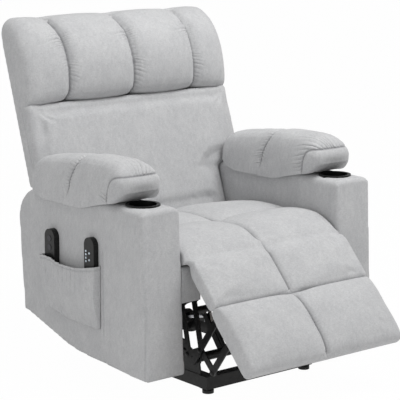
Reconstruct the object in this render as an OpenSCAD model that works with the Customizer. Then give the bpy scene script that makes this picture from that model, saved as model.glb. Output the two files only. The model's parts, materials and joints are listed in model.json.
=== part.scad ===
// Power lift recliner chair: a padded chair on a floor frame whose links raise and
// tip it forward, with a reclining back and a footrest on a folding linkage.
// Units are millimetres. X is across the chair, +Y points to the rear, +Z is up.
// Side-view points are [y, z], measured from the foot of the arm fronts, at floor level.

/* [Arms] */
// Clear width between the arms
arm_gap = 632; // [600:2:680]
// Width of one arm
arm_w = 144; // [130:2:170]
// Height of the flat arm top
arm_top = 595; // [585:1:610]
// Height of the arm's front bottom edge
arm_bottom = 90; // [80:1:100]
// Length of the arm, front to rear
arm_len = 650; // [640:1:680]
// Radius of the arm's upper long edges
arm_edge_r = 24; // [10:1:30]
// Height of the pillow on the arm top
arm_pad_h = 131; // [100:1:140]
// Width of the pillow
arm_pad_w = 172; // [160:1:184]
// Length of the pillow
arm_pad_len = 476; // [440:1:480]
// Depth to which the pillow hangs over the arm's long edges
arm_pad_drop = 38; // [20:1:50]

/* [Cup holders] */
// Inner radius of the cup holder
cup_r = 42; // [35:0.5:44]
// Wall of the cup holder
cup_wall = 3; // [2:0.5:4]
// Depth of the cup holder
cup_depth = 70; // [50:1:90]
// Width of the rim on the arm top
cup_rim = 7; // [4:0.5:8]
// Distance of the cup holder's centre behind the arm front
cup_y = 108; // [98:1:112]

/* [Side pockets] */
// Length of the pocket
pocket_len = 284; // [260:1:300]
// Height of the pocket at its ends
pocket_h = 194; // [170:1:210]
// Depth of the pocket's mouth
pocket_d = 31; // [29:1:40]
// Height of the pocket's bottom
pocket_z = 206; // [195:1:215]
// Drop of the mouth between its ends
pocket_sag = 26; // [10:1:40]

/* [Seat] */
// Height of the seat frame's top
seat_frame_z = 400; // [390:1:405]
// Height of the seat frame's rails
seat_rail_h = 70; // [50:1:75]
// Thickness of the seat frame's rails
seat_rail_t = 25; // [18:1:30]
// Thickness of the seat cushion
seat_t = 96; // [80:1:105]
// Thickness of the footrest and calf cushions at their edges
leg_pad_t = 55; // [45:1:60]
// Half width of the footrest and calf cushions
leg_pad_x = 290; // [270:1:300]
// Length of the footrest cushion
foot_pad_len = 232; // [215:1:236]

/* [Back] */
// Lean of the back from upright, in degrees
back_lean = 18; // [14:0.5:22]
// Half width of the back above the arms
back_x = 413; // [400:1:430]
// Half width of the back between the arms
back_low_x = 306; // [294:1:310]
// Height of the back above its hinge, along the back
back_h = 728; // [710:1:740]
// Place of the seam under the head cushion, along the back
head_seam = 434; // [420:1:450]
// Thickness of the lower back cushion
back_t = 62; // [50:1:75]
// Reach of the head cushion in front of the back frame's middle
head_t = 140; // [120:1:150]
// Spacing of the head cushion's sewn channels
channel_w = 256; // [230:1:262]

/* [Floor frame] */
// Width of the floor frame
base_w = 430; // [428:1:434]
// Length of the floor frame
base_len = 612; // [590:1:640]
// Width of the frame's rails
rail_w = 35; // [30:1:40]
// Height of the frame's rails
rail_h = 40; // [30:1:42]
// Wall of the frame's rails
rail_wall = 2; // [1.5:0.5:3]
// Height of the feet
foot_h = 14; // [12:1:20]
// Radius of the feet
foot_r = 18; // [14:1:20]

/* [Links] */
// Thickness of the steel link bars and plates
bar_t = 5; // [4:0.5:5]
// Width of the footrest's link bars
bar_w = 21; // [20:1:24]
// Width of the lift's link bars
lift_bar_w = 30; // [24:1:32]
// Side play between neighbouring bars
bar_play = 1; // [0.8:0.1:1.5]
// Radial clearance of the running pins
pin_play = 0.05; // [0.03:0.01:0.1]
// Radial clearance of the pins that close a loop
loop_play = 0.4; // [0.3:0.1:0.8]
// Radius of the footrest's link pins
pin_r = 6; // [5:0.5:7]
// Radius of the lift's link pins
lift_pin_r = 8; // [6:0.5:9]

/* [Hidden] */
$fn = 48;

// Distance from the arm fronts back to the middle of the whole chair
origin_y = 282;

steel = [0.06, 0.06, 0.065];
zinc = [0.6, 0.6, 0.62];
plastic = [0.04, 0.04, 0.045];
cloth = [0.68, 0.69, 0.7];
wood = [0.72, 0.58, 0.42];
button_white = [0.8, 0.82, 0.84];

// ---- side-view pivots ----

// Point at a length and an angle from a point; 0 is to the rear and 90 is up
function polar(p, len, angle) = p + len * [cos(angle), sin(angle)];

drive_pivot = [69, 300];
drive_upper = 164.2;
drive_lean = 257;
drive_lower = 82;
drive_bend = 223;
carrier_len = 185.4;
carrier_lean = 126;
carrier_tail = 52;
swing_shift = [58, -24];
tube_drop = 43;
tube_r = 11;

cross_pivot = polar(drive_pivot, drive_upper, drive_lean);
elbow_pivot = polar(cross_pivot, drive_lower, drive_bend);
carrier_pivot = polar(cross_pivot, carrier_len, carrier_lean);
lower_pivot = carrier_pivot + elbow_pivot - cross_pivot;
swing_pivot = drive_pivot + swing_shift;
swing_end = cross_pivot + swing_shift;
drive_tube = polar(drive_pivot, tube_drop, drive_lean);

front_base = [80, 100];
front_top = [280, 115];
rear_base = [134.3, 129.1];
rear_top = [560, 200];
torque_r = 14;
torque_wall = 3;
rear_tie_r = 10;
rear_tie_from_top = 40;

lift_crank_r = 125;
lift_crank_angle = 51.5;
lift_turn = 50;
lift_x = -100;
recline_crank_r = 95;
recline_crank_angle = 282;
recline_close = 40;
recline_open = 48;
recline_x = 100;

lift_pin = polar(front_base, lift_crank_r, lift_crank_angle);
recline_pin = polar(drive_pivot, recline_crank_r, recline_crank_angle);

// Half of the rise of a crank pin over its chord, where its push rod's axis lies
function half_sag(r, turn) = r * (1 - cos(turn / 2)) / 2;
lift_axis_angle = lift_crank_angle + lift_turn / 2 - 90;
lift_sag = half_sag(lift_crank_r, lift_turn);
recline_turn = recline_close + recline_open;
recline_mid = recline_crank_angle + (recline_close - recline_open) / 2;
recline_axis_angle = recline_mid - 270;
recline_sag = half_sag(recline_crank_r, recline_turn);

// ---- planes across the chair, each side's inner face ----

base_plate_x = base_w / 2 - 2 - bar_t;
front_link_x = base_plate_x + bar_t + bar_play;
rear_link_x = base_plate_x - bar_t - bar_play;
side_plate_x = front_link_x + bar_t + bar_play;
drive_x = side_plate_x + bar_t + bar_play;
carrier_x = drive_x + bar_t + bar_play;

arm_x = arm_gap / 2;
arm_out = arm_x + arm_w;
arm_mid = arm_x + arm_w / 2;
arm_lean = 0.046;
rail_z = foot_h;
rail_top = foot_h + rail_h;
base_front = 20;
base_rear = base_front + base_len;

back_hinge = [600, 400];
seat_rail_x = arm_x;

// ---- helpers ----

module placed() { translate([0, -origin_y, 0]) children(); }

module both() {
    children();
    mirror([1, 0, 0]) children();
}

// Raises a [y, z] outline from x0 to x1
module slab(x0, x1) {
    translate([x0, 0, 0]) rotate([90, 0, 90]) linear_extrude(x1 - x0) children();
}

// Round bar along X through a side-view point
module across(p, r, x0, x1) {
    slab(x0, x1) translate(p) circle(r);
}

// Outline of a bar with round ends from p to q, its sides set in a little from the ends
side_set = 0.1;
module bar(p, q, w) {
    d = q - p;
    half = w / 2 - side_set;
    translate(p) circle(w / 2);
    translate(q) circle(w / 2);
    translate(p) rotate(atan2(d[1], d[0])) translate([0, -half]) square([norm(d), 2 * half]);
}

// Box from its low to its high corner
module block(lo, hi) { translate(lo) cube(hi - lo); }

// Closed surface through a list of equal loops, with a flat fan at each end
module loft(loops) {
    n = len(loops[0]);
    m = len(loops);
    points = concat([for (l = loops) each l], [sum(loops[0]) / n, sum(loops[m - 1]) / n]);
    sides = [for (i = [0:m - 2], j = [0:n - 1]) let (
        a = i * n + j, b = i * n + (j + 1) % n, c = a + n, d = b + n) each [[a, b, d], [a, d, c]]];
    low_cap = [for (j = [0:n - 1]) [m * n, (j + 1) % n, j]];
    high_cap = [for (j = [0:n - 1]) [m * n + 1, (m - 1) * n + j, (m - 1) * n + (j + 1) % n]];
    faces = concat(sides, low_cap, high_cap);
    volume = sum([for (f = faces) points[f[0]] * cross(points[f[1]], points[f[2]])]);
    polyhedron(points = points, convexity = 6,
        faces = volume > 0 ? [for (f = faces) [f[2], f[1], f[0]]] : faces);
}

function sum(v) = [for (x = v) 1] * v;
// Signed power, for rounded-box loops
function spow(v, e) = sign(v) * pow(abs(v), e);
// 1 in the middle, falling to 0 at u = -1 and 1, squarer as m grows
function fullness(u, m) = pow(max(0, 1 - pow(abs(u), m)), 1 / m);
// A soft dip of one depth at u = 0
function dip(u, w) = exp(-u * u / (w * w));
function smooth(u) = let (t = max(0, min(1, u))) t * t * (3 - 2 * t);

// Stations from -1 to 1 that crowd towards the ends
function stations(n) = [for (i = [0:n]) sin(-88 + 176 * i / n)];

// ---- floor frame ----

module rail_section(w) {
    difference() {
        square([w, rail_h]);
        translate([rail_wall, rail_wall]) square([w - 2 * rail_wall, rail_h - 2 * rail_wall]);
    }
}

module base_cross_rails() {
    color(steel) for (y = [base_front, base_rear - rail_w])
        slab(-base_w / 2, base_w / 2) translate([y, rail_z]) rail_section(rail_w);
}

module base_side_rails() {
    color(steel) both() translate([base_w / 2 - rail_w, base_rear - rail_w, rail_z])
        rotate([90, 0, 0]) linear_extrude(base_len - 2 * rail_w) rail_section(rail_w);
}

cap_t = 2;
cap_plug = 12;
cap_play = 0.2;
module base_end_caps() {
    plug = rail_wall + cap_play;
    color(plastic) both() for (y = [base_front, base_rear - rail_w]) {
        block([base_w / 2, y, rail_z], [base_w / 2 + cap_t, y + rail_w, rail_top]);
        block([base_w / 2 - cap_plug, y + plug, rail_z + plug],
            [base_w / 2 + cap_t, y + rail_w - plug, rail_top - plug]);
    }
}

module base_feet() {
    color(plastic)
        both() for (y = [base_front + rail_w / 2, base_rear - rail_w / 2])
            translate([base_w / 2 - rail_w / 2, y, 0]) {
                cylinder(h = foot_h - 4, r = foot_r);
                cylinder(h = foot_h, r = foot_r - 5);
            }
}

plate_rear = 190;
module base_lift_plates() {
    color(steel) both() slab(base_plate_x, base_plate_x + bar_t) difference() {
        union() {
            polygon([[base_front + rail_w, rail_top], [plate_rear, rail_top], rear_base + [14, -2],
                rear_base + [0, 12], front_base + [-14, 12]]);
            translate(front_base) circle(torque_r + 10);
            translate(rear_base) circle(lift_pin_r + 9);
        }
        translate(front_base) circle(torque_r + pin_play);
        translate(rear_base) circle(lift_pin_r + pin_play);
    }
}

// ---- push-rod motors: u runs back along the rod's axis from the crank pin ----

yoke_w = 34;
yoke_t = 8;
rod_r = 9;
tube_out = 22;
crank_pin_r = 6;
yoke_slot = 3.2;

module on_axis(pin, lift, angle, x) {
    translate([x, pin[0], pin[1]]) rotate([angle, 0, 0]) translate([0, 0, lift]) children();
}

// A motor's rear eye in the side view
function eye_point(pin, lift, angle, u) =
    pin + u * [cos(angle), sin(angle)] + lift * [-sin(angle), cos(angle)];

module along(u0, u1, r) { translate([0, u0, 0]) rotate([-90, 0, 0]) cylinder(h = u1 - u0, r = r); }

// Rod with a slotted plate, in whose slot the crank pin rises and falls
module push_rod(sag, reach) {
    slot_h = sag + crank_pin_r + yoke_slot;
    difference() {
        union() {
            slab(-yoke_t / 2, yoke_t / 2)
                translate([-yoke_w / 2, -slot_h - 8]) square([yoke_w, 2 * slot_h + 16]);
            along(yoke_w / 2 - 1, reach, rod_r);
        }
        slab(-yoke_t, yoke_t)
            bar([0, -sag - yoke_slot / 2], [0, sag + yoke_slot / 2], 2 * (crank_pin_r + yoke_slot));
    }
}

// Housing tube with a motor under its rear end and an eye for the mounting pin
module motor(u0, u1, drop) {
    difference() {
        union() {
            along(u0, u1 - 20, tube_out);
            block([-14, u1 - 30, -14], [14, u1 + 14, 14]);
            translate([0, u1 - 70, -drop]) cylinder(h = drop, r = 26);
            translate([0, u1 - 70, -drop - 8]) cylinder(h = 9, r = 20);
        }
        along(u0 - 1, u1 - 34, rod_r + 0.6);
        slab(-20, 20) translate([u1, 0]) circle(pin_r + pin_play);
    }
}

lift_eye = 440;
lift_housing = 96;
recline_eye = 520;
recline_housing = 150;

module lift_motor() {
    color(plastic) on_axis(lift_pin, lift_sag, lift_axis_angle, lift_x)
        motor(lift_housing, lift_eye, 34);
}

module lift_rod() {
    color(zinc) on_axis(lift_pin, lift_sag, lift_axis_angle, lift_x)
        push_rod(lift_sag, lift_eye - 50);
}

lift_eye_at = eye_point(lift_pin, lift_sag, lift_axis_angle, lift_eye);
module lift_bracket() {
    ear_h = 16;
    color(steel) {
        for (s = [-1, 1]) translate([lift_x + s * 17.5, 0, 0]) slab(-2, 2) difference() {
            union() {
                polygon([[base_rear - rail_w, rail_top], [base_rear - 4, rail_top],
                    lift_eye_at + [ear_h, 0], lift_eye_at + [-ear_h, 0]]);
                translate(lift_eye_at) circle(ear_h);
            }
            translate(lift_eye_at) circle(pin_r + pin_play);
        }
        translate([lift_x, 0, 0]) across(lift_eye_at, pin_r, -22, 22);
    }
}

module control_box() {
    inlet = [8, 20, 24];
    lo = [-70, base_rear - 120, rail_top - 30];
    hi = [40, base_rear - rail_w - 1, rail_top + 34];
    color(plastic) difference() {
        block(lo, hi);
        translate([hi[0] - inlet[0], lo[1] + 20, lo[2] + 16])
            cube([inlet[0] + 1, inlet[1], inlet[2]]);
    }
    color(steel) block([lo[0] + 20, hi[1] - 1, rail_top], [hi[0] - 20, base_rear - 6, rail_top + 3]);
}

// ---- lift links ----

lug_gap = yoke_t / 2 + bar_play;

module crank_lugs(center, pin, r_end, x) {
    for (s = [-1, 1]) translate([x + s * (lug_gap + bar_t / 2), 0, 0])
        slab(-bar_t / 2, bar_t / 2) bar(center, pin, 2 * r_end);
    translate([x, 0, 0]) across(pin, crank_pin_r, -lug_gap - bar_t, lug_gap + bar_t);
}

module front_lift_links() {
    color(steel) {
        both() slab(front_link_x, front_link_x + bar_t) bar(front_base, front_top, lift_bar_w);
        both() across(front_top, lift_pin_r, front_link_x, side_plate_x + bar_t + 0.6);
        difference() {
            union() {
                across(front_base, torque_r, -front_link_x - 1, front_link_x + 1);
                crank_lugs(front_base, lift_pin, 11, lift_x);
            }
            across(front_base, torque_r - torque_wall, -front_link_x - 2, front_link_x + 2);
        }
    }
}

module rear_lift_links() {
    along_link = atan2(rear_top[1] - rear_base[1], rear_top[0] - rear_base[0]);
    tie = polar(rear_top, -rear_tie_from_top, along_link);
    color(steel) {
        both() slab(rear_link_x, rear_link_x + bar_t) difference() {
            bar(rear_base, rear_top, lift_bar_w);
            translate(rear_top) circle(lift_pin_r + loop_play + 0.3);
        }
        both() across(rear_base, lift_pin_r, rear_link_x, base_plate_x + bar_t + 0.5);
        across(tie, rear_tie_r, -rear_link_x - 1, rear_link_x + 1);
    }
}

// ---- chassis ----

flange_z = seat_frame_z - seat_rail_h;
flange_t = 4;
module side_plates() {
    boss = 19;
    color(steel) both() {
        slab(side_plate_x, side_plate_x + bar_t) difference() {
            union() {
                polygon([[drive_pivot[0] - 17, flange_z], drive_pivot + [-17, 0], drive_pivot + [0, -14],
                    swing_pivot + [0, -16], [front_top[0] - 60, 225], front_top + [-17, 6],
                    front_top + [0, -15], front_top + [60, 50], rear_top + [-10, -17],
                    rear_top + [17, 0], [rear_top[0] + 50, 290], [rear_top[0] + 50, flange_z]]);
                translate(drive_pivot) circle(boss - 2);
                translate(swing_pivot) circle(boss - 2);
                translate(front_top) circle(boss);
                translate(rear_top) circle(boss);
            }
            translate(drive_pivot) circle(lift_pin_r + pin_play);
            translate(swing_pivot) circle(pin_r + pin_play);
            translate(front_top) circle(lift_pin_r + pin_play);
        }
        block([side_plate_x, drive_pivot[0] - 17, flange_z - flange_t],
            [seat_rail_x, rear_top[0] + 50, flange_z]);
        across(rear_top, lift_pin_r, rear_link_x - 1, side_plate_x + 1);
        across(rear_top, lift_pin_r + 4, rear_link_x + bar_t + 0.5, side_plate_x + 1);
    }
}

tube_w = 26;
recline_eye_at = eye_point(recline_pin, recline_sag, recline_axis_angle, recline_eye);
eye_stand = 46;
tube_at = recline_eye_at - [tube_w / 2, eye_stand];
module chassis_cross_tube() {
    color(steel) {
        slab(-side_plate_x, side_plate_x) translate(tube_at) difference() {
            square([tube_w, tube_w]);
            translate([2, 2]) square([tube_w - 4, tube_w - 4]);
        }
        for (s = [-1, 1]) translate([recline_x + s * 17.5, 0, 0]) slab(-2, 2) difference() {
            union() {
                translate([tube_at[0], tube_at[1] + tube_w]) square([tube_w, eye_stand - tube_w]);
                translate(recline_eye_at) circle(tube_w / 2);
            }
            translate(recline_eye_at) circle(pin_r + pin_play);
        }
        translate([recline_x, 0, 0]) across(recline_eye_at, pin_r, -22, 22);
    }
}

module recline_motor() {
    color(plastic) on_axis(recline_pin, recline_sag, recline_axis_angle, recline_x)
        motor(recline_housing, recline_eye, 34);
}

module recline_rod() {
    color(zinc) on_axis(recline_pin, recline_sag, recline_axis_angle, recline_x)
        push_rod(recline_sag, recline_eye - 102);
}

seat_front = 22;
seat_rear = 600;
hinge_plate_len = 70;
rear_cross_y = seat_rear - hinge_plate_len - seat_rail_t;
module seat_side_rails() {
    color(wood) both()
        block([seat_rail_x - seat_rail_t, seat_front, flange_z], [seat_rail_x, seat_rear, seat_frame_z]);
}

module seat_cross_rails() {
    color(wood) for (y = [seat_front, rear_cross_y])
        block([-seat_rail_x + seat_rail_t, y, flange_z],
            [seat_rail_x - seat_rail_t, y + seat_rail_t, seat_frame_z]);
}

spring_wire = 4;
spring_count = 5;
spring_bends = 16;
module seat_springs() {
    y0 = seat_front + 8;
    y1 = rear_cross_y + seat_rail_t - 8;
    pitch = (y1 - y0) / spring_bends;
    half = 22;
    spacing = 2 * (seat_rail_x - seat_rail_t) / spring_count;
    color(zinc) for (k = [0:spring_count - 1])
        translate([(k - (spring_count - 1) / 2) * spacing, 0, seat_frame_z])
            linear_extrude(spring_wire) polygon(concat(
                [for (i = [0:spring_bends]) [(i % 2 * 2 - 1) * half + spring_wire, y0 + i * pitch]],
                [for (i = [spring_bends:-1:0]) [(i % 2 * 2 - 1) * half - spring_wire, y0 + i * pitch]]));
}

// Rounded-box loop in the [a, b] plane, from lo to hi, whose roundness grows as e falls
function box_loop(lo, hi, e, n) = [for (i = [0:n - 1]) let (t = 360 * i / n + 180 / n)
    [(lo[0] + hi[0]) / 2 + (hi[0] - lo[0]) / 2 * spow(cos(t), e),
     (lo[1] + hi[1]) / 2 + (hi[1] - lo[1]) / 2 * spow(sin(t), e)]];

cover_t = 4;
cover_drop = 30;
cover_gap = 0.3;
cover_side = 0.5;
slit_w = 30;
slit_top = 326;
// The cover's lower edge is slit on each side, where the footrest's links fold in behind it
module seat_front_cover() {
    y0 = seat_front - cover_gap - cover_t;
    color(cloth) difference() {
        block([-seat_rail_x + cover_side, y0, flange_z - cover_drop],
            [seat_rail_x - cover_side, y0 + cover_t, seat_frame_z - cover_side]);
        both() block([drive_x - slit_w / 4, y0 - 1, 0],
            [drive_x + slit_w * 3 / 4, y0 + cover_t + 1, slit_top]);
    }
}

seat_half = arm_x - 5;
seat_base = seat_frame_z + spring_wire + 0.3;
seat_y0 = 28;
seat_nose = 42;
seat_nose_drop = 54;
seat_back_end = 538;
seat_back_drop = 30;
seat_side_drop = 24;
seat_cross_seam = 244;
seat_seam = 6;
module seat_cushion() {
    color(cloth) loft([for (u = stations(18)) let (
        x = u * seat_half, f = fullness(u, 9), t = seat_t * (0.6 + 0.4 * f) * (1 - 0.05 * dip(x, 12)))
        [for (p = box_loop([0, 0], [1, 1], 0.42, 40)) let (
            y = seat_y0 + (seat_back_end - seat_y0) * p[0] - seat_nose * p[1] * pow(1 - p[0], 4),
            rise = t - seat_back_drop * pow(p[0], 6) - seat_side_drop * pow(u * p[0], 2)
                - seat_seam * dip(y - seat_cross_seam, 12)
                - seat_nose_drop * pow(max(0, 1 - p[0] / 0.2), 1.6))
            [x, y, seat_base + p[1] * rise]]]);
}

// ---- arms ----

arm_rear = arm_len + 20;
arm_corner = [150, 110];
module arm_profile() {
    front = (arm_top - arm_bottom) * arm_lean;
    polygon(concat([[0, arm_bottom], [91, arm_bottom + 1], [172, arm_bottom + 6], [340, arm_bottom + 17],
        [412, arm_bottom + 29], [535, arm_bottom + 63], [arm_len - 23, arm_bottom + 89],
        [arm_len - 2, arm_bottom + 91]],
        [for (a = [0:15:90])
            [arm_rear + arm_corner[0] * (cos(a) - 1), arm_top + arm_corner[1] * (sin(a) - 1)]],
        [[front + 8, arm_top], [front, arm_top - 8]]));
}

module arm_section() {
    r = arm_edge_r;
    translate([arm_x, 0]) square([arm_w, arm_top - r]);
    translate([arm_x + r, 0]) square([arm_w - 2 * r, arm_top]);
    for (x = [arm_x + r, arm_out - r]) translate([x, arm_top - r]) circle(r);
}

cup_floor = arm_top - cup_depth;
module arm() {
    color(cloth) difference() {
        intersection() {
            slab(arm_x, arm_out) arm_profile();
            translate([0, arm_len + 60, 0]) rotate([90, 0, 0]) linear_extrude(arm_len + 100) arm_section();
        }
        translate([arm_mid, cup_y, cup_floor - cup_wall - 0.3])
            cylinder(h = cup_depth + cup_wall + 1, r = cup_r + cup_wall + 0.3);
    }
}

module cup_holder() {
    color(plastic) translate([arm_mid, cup_y, 0]) rotate_extrude() difference() {
        union() {
            translate([0, cup_floor - cup_wall]) square([cup_r + cup_wall, cup_depth + cup_wall + 1]);
            translate([0, arm_top + 0.2]) square([cup_r + cup_wall + cup_rim, 4]);
        }
        translate([-1, cup_floor]) square([cup_r + 1, cup_depth + 10]);
    }
}

// Pillow over the arm: a blunt front end, fullest before its middle, thin at the rear
pad_y0 = cup_y + 2;
pad_clear = 0.6;
pad_nose = 40;
// Half width of the arm's top edge, as the pillow's underside meets it, a depth below the top
function arm_edge(depth) = let (r = arm_edge_r, c = r + pad_clear)
    arm_w / 2 - r + (depth > r ? c : sqrt(c * c - pow(r - max(0, depth), 2)));
module arm_pad() {
    n = 22;
    color(cloth) loft([for (i = [0:n]) let (
        k = (1 - cos(3 + 174 * i / n)) / 2, y = pad_y0 + arm_pad_len * k,
        plan = min(fullness(max(0, 1 - k / 0.1), 2.2), fullness(max(0, 1 - (1 - k) / 0.1), 2.2)),
        side = min(fullness(max(0, 1 - k / 0.22), 2.4), fullness(max(0, 1 - (1 - k) / 0.16), 2.2)),
        slope = 1 - 0.4 * pow(max(0, k - 0.42) / 0.58, 1.6), seam = dip(k - 0.66, 0.022),
        w = arm_pad_w / 2 * (0.55 + 0.45 * plan) - 3 * seam,
        h = arm_pad_h * (0.14 + 0.86 * side) * slope * (1 - 0.07 * seam),
        drop = 2 + (arm_pad_drop - 2) * smooth((k - 0.1) / 0.4) * smooth((1 - k) / 0.2),
        base = pad_clear + pad_nose * pow(max(0, 1 - k / 0.16), 1.5),
        under = [for (share = [0.96, 0.8, 0.6, 0.4, 0.22, 0.08, 0]) drop * share])
        [for (q = concat(
            [for (j = [0:14]) let (t = 180 * j / 14) [w * spow(cos(t), 0.7),
                base - drop * pow(abs(cos(t)), 6) + (h - base) * pow(sin(t), 0.75)]],
            [for (d = under) [-min(w - 2.5, arm_edge(d)), base - d]],
            [for (j = [6:-1:0]) [min(w - 2.5, arm_edge(under[j])), base - under[j]]]))
            [arm_mid + q[0], y, arm_top + q[1]]]]);
}

// ---- side pockets: a gathered sheet that stands off the arm at its mouth ----

pocket_front = 222;
pocket_cloth = 2.5;
pocket_cols = 24;
pocket_rows = 7;
pocket_folds = 6;
// Gap behind the sheet at a share of its length and of its height
function pocket_out(u, v) = let (e = fullness(2 * u - 1, 12))
    0.6 + (pocket_d - pocket_cloth - 1) * e * (0.25 + 0.75 * smooth(v / 0.5))
    - 0.9 * e * v * (1 - cos(u * 360 * pocket_folds));
module pocket() {
    function at(u, v, out) = [arm_out + out, pocket_front + pocket_len * u + 10 * (1 - v) * (0.5 - u),
        pocket_z + pocket_h * v - pocket_sag * sin(180 * u) * v
        + (16 * pow(abs(2 * u - 1), 8) - 9 * sin(180 * u)) * (1 - v)];
    color(cloth) loft([for (i = [0:pocket_cols]) let (u = i / pocket_cols) concat(
        [for (j = [0:pocket_rows]) let (v = j / pocket_rows) at(u, v, pocket_out(u, v) + pocket_cloth)],
        [for (j = [pocket_rows:-1:0]) let (v = j / pocket_rows) at(u, v, pocket_out(u, v))])]);
}

rear_cover_z = 186;
rear_cleat = 22;
rear_cover_t = 12;
rear_cover_drop = 24;
rear_cover_lean = 8;
rear_face = seat_rear + 48;
module rear_cover() {
    half = arm_x - 3;
    low = rear_face - rear_cover_lean;
    top = seat_frame_z - rear_cover_drop;
    color(cloth) slab(-half, half)
        polygon([[low - rear_cover_t, rear_cover_z], [low, rear_cover_z],
            [rear_face, top], [rear_face - rear_cover_t, top]]);
    color(wood) block([-half, seat_rear, flange_z + 2],
        [half, rear_face + 1 - rear_cover_t, flange_z + 2 + rear_cleat]);
}

// ---- back ----

hinge_x = seat_rail_x - seat_rail_t - bar_t;
module back_hinge_plates() {
    color(steel) both() slab(hinge_x, hinge_x + bar_t) difference() {
        union() {
            block2([seat_rear - hinge_plate_len, flange_z + 4], [seat_rear, seat_frame_z - 4]);
            translate(back_hinge) circle(22);
        }
        translate(back_hinge) circle(lift_pin_r + pin_play);
    }
}

module block2(lo, hi) { translate(lo) square(hi - lo); }

// The back's own axes: Z runs up it from the hinge and Y to its rear
module in_back() {
    translate([0, back_hinge[0], back_hinge[1]]) rotate([-back_lean, 0, 0]) children();
}

frame_half = 11;
frame_top = back_h - 90;
back_arm_x = hinge_x - bar_play - bar_t;
module back_arms() {
    color(steel) {
        both() in_back() slab(back_arm_x, back_arm_x + bar_t) {
            translate([-frame_half, 0]) square([2 * frame_half, 150]);
            circle(17);
        }
        both() across(back_hinge, lift_pin_r, back_arm_x, hinge_x + bar_t - 0.2);
    }
}

post_w = 40;
frame_low = 40;
module back_frame() {
    color(wood) in_back() {
        both() block([back_arm_x - post_w, -frame_half, frame_low], [back_arm_x, frame_half, frame_top]);
        for (share = [0.03, 0.44, 0.77, 1]) let (a = frame_low + share * (frame_top - frame_low - post_w))
            block([-back_arm_x + post_w, -frame_half, a], [back_arm_x - post_w, frame_half, a + post_w]);
    }
}

// The back is narrow between the arms and wide above them, with round top corners
wing_a = 186;
corner_r = 58;
cushion_b = frame_half + 0.6;
shell_b = 30;
shell_inset = 2;
function back_half(a) = back_low_x + (back_x - back_low_x) * smooth((a - wing_a) / 22);
function corner(t) = corner_r * (1 - sqrt(1 - pow(min(0.97, max(0, t / corner_r)), 2)));
module back_shell() {
    a0 = 30;
    a1 = back_h - 16;
    steps = [a0, 90, 150, wing_a, wing_a + 7, wing_a + 11, wing_a + 15, wing_a + 22, 330, 450, 560,
        a1 - 70, a1 - 50, a1 - 34, a1 - 20, a1 - 10, a1 - 3, a1];
    color(cloth) in_back() difference() {
        loft([for (a = steps) let (w = back_half(a) - shell_inset - corner(a - a1 + corner_r))
            [for (p = box_loop([-w, 0], [w, 1], 0.28, 28))
                [p[0], -cushion_b + 0.3 + (shell_b + cushion_b) * p[1], a]]]);
        block([-back_arm_x - bar_t - 0.5, -2 * shell_b, 0],
            [back_arm_x + bar_t + 0.5, frame_half + 0.5, frame_top + 0.5]);
    }
}

low_a = 38;
module back_cushion() {
    a1 = head_seam - 2;
    steps = [low_a, low_a + 5, low_a + 15, low_a + 40, 130, wing_a, wing_a + 6, wing_a + 11, wing_a + 16,
        wing_a + 22, 260, 320, 370, 408, a1 - 9, a1 - 3, a1];
    color(cloth) in_back() loft([for (a = steps) let (
        k = (a - low_a) / (a1 - low_a), f = fullness(2 * k - 1, 12), w = back_half(a))
        [for (p = box_loop([-w, 0], [w, 1], 0.34, 36)) let (
            t = back_t * (0.5 + 0.5 * f) * (0.8 + 0.2 * fullness(p[0] / w, 2.2)))
            [p[0], -cushion_b - t * p[1], a]]]);
}

// Outline of the head cushion in the side view: [up from its seam, forward of the frame's middle]
// as shares of its height and reach; it rolls over the top of the back to the rear
head_outline = [[0, 0.4], [0.008, 0.52], [0.05, 0.72], [0.12, 0.84], [0.21, 0.92], [0.3, 0.975],
    [0.39, 1], [0.5, 1], [0.59, 0.97], [0.69, 0.9], [0.77, 0.8], [0.84, 0.68], [0.9, 0.5],
    [0.955, 0.3], [0.99, 0.08], [1, -0.08]];
head_side = 0.37;
module head_cushion() {
    tall = back_h - head_seam;
    color(cloth) in_back() loft([for (i = [0:36]) let (
        x = back_x * sin(-88 + 176 * i / 36),
        seam = dip(x, 9) + dip(x - channel_w, 9) + dip(x + channel_w, 9),
        top = back_h - corner(abs(x) - back_x + corner_r) - 8 * seam,
        full = (head_side + (1 - head_side) * fullness(x / back_x, 2.5)) * (1 - 0.12 * seam))
        concat([[x, -cushion_b, head_seam]],
            [for (p = head_outline) let (b = p[1] * head_t)
                [x, -min(b, cushion_b) - max(0, b - cushion_b) * full,
                    head_seam + (top - head_seam) * p[0]]],
            [[x, shell_b - 4, top - 7], [x, shell_b - 4, top - 13.5 + 8 * seam],
                [x, -cushion_b, top - 13.5 + 8 * seam]])]);
}

// ---- footrest linkage ----

module drive_links() {
    color(steel) {
        both() slab(drive_x, drive_x + bar_t) {
            bar(drive_pivot, cross_pivot, bar_w);
            bar(cross_pivot, elbow_pivot, bar_w);
        }
        both() across(drive_pivot, lift_pin_r, side_plate_x - 0.4, drive_x + 1);
        both() for (p = [cross_pivot, elbow_pivot])
            across(p, pin_r, drive_x, carrier_x + bar_t + 1);
        across(drive_tube, tube_r, -drive_x - 1, drive_x + 1);
        crank_lugs(drive_tube, recline_pin, 10, recline_x);
    }
}

module swing_links() {
    color(steel) {
        both() slab(drive_x, drive_x + bar_t) difference() {
            bar(swing_pivot, swing_end, bar_w - 2);
            translate(swing_end) circle(pin_r + loop_play);
        }
        both() across(swing_pivot, pin_r, side_plate_x - 0.4, drive_x + 1);
    }
}

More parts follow.
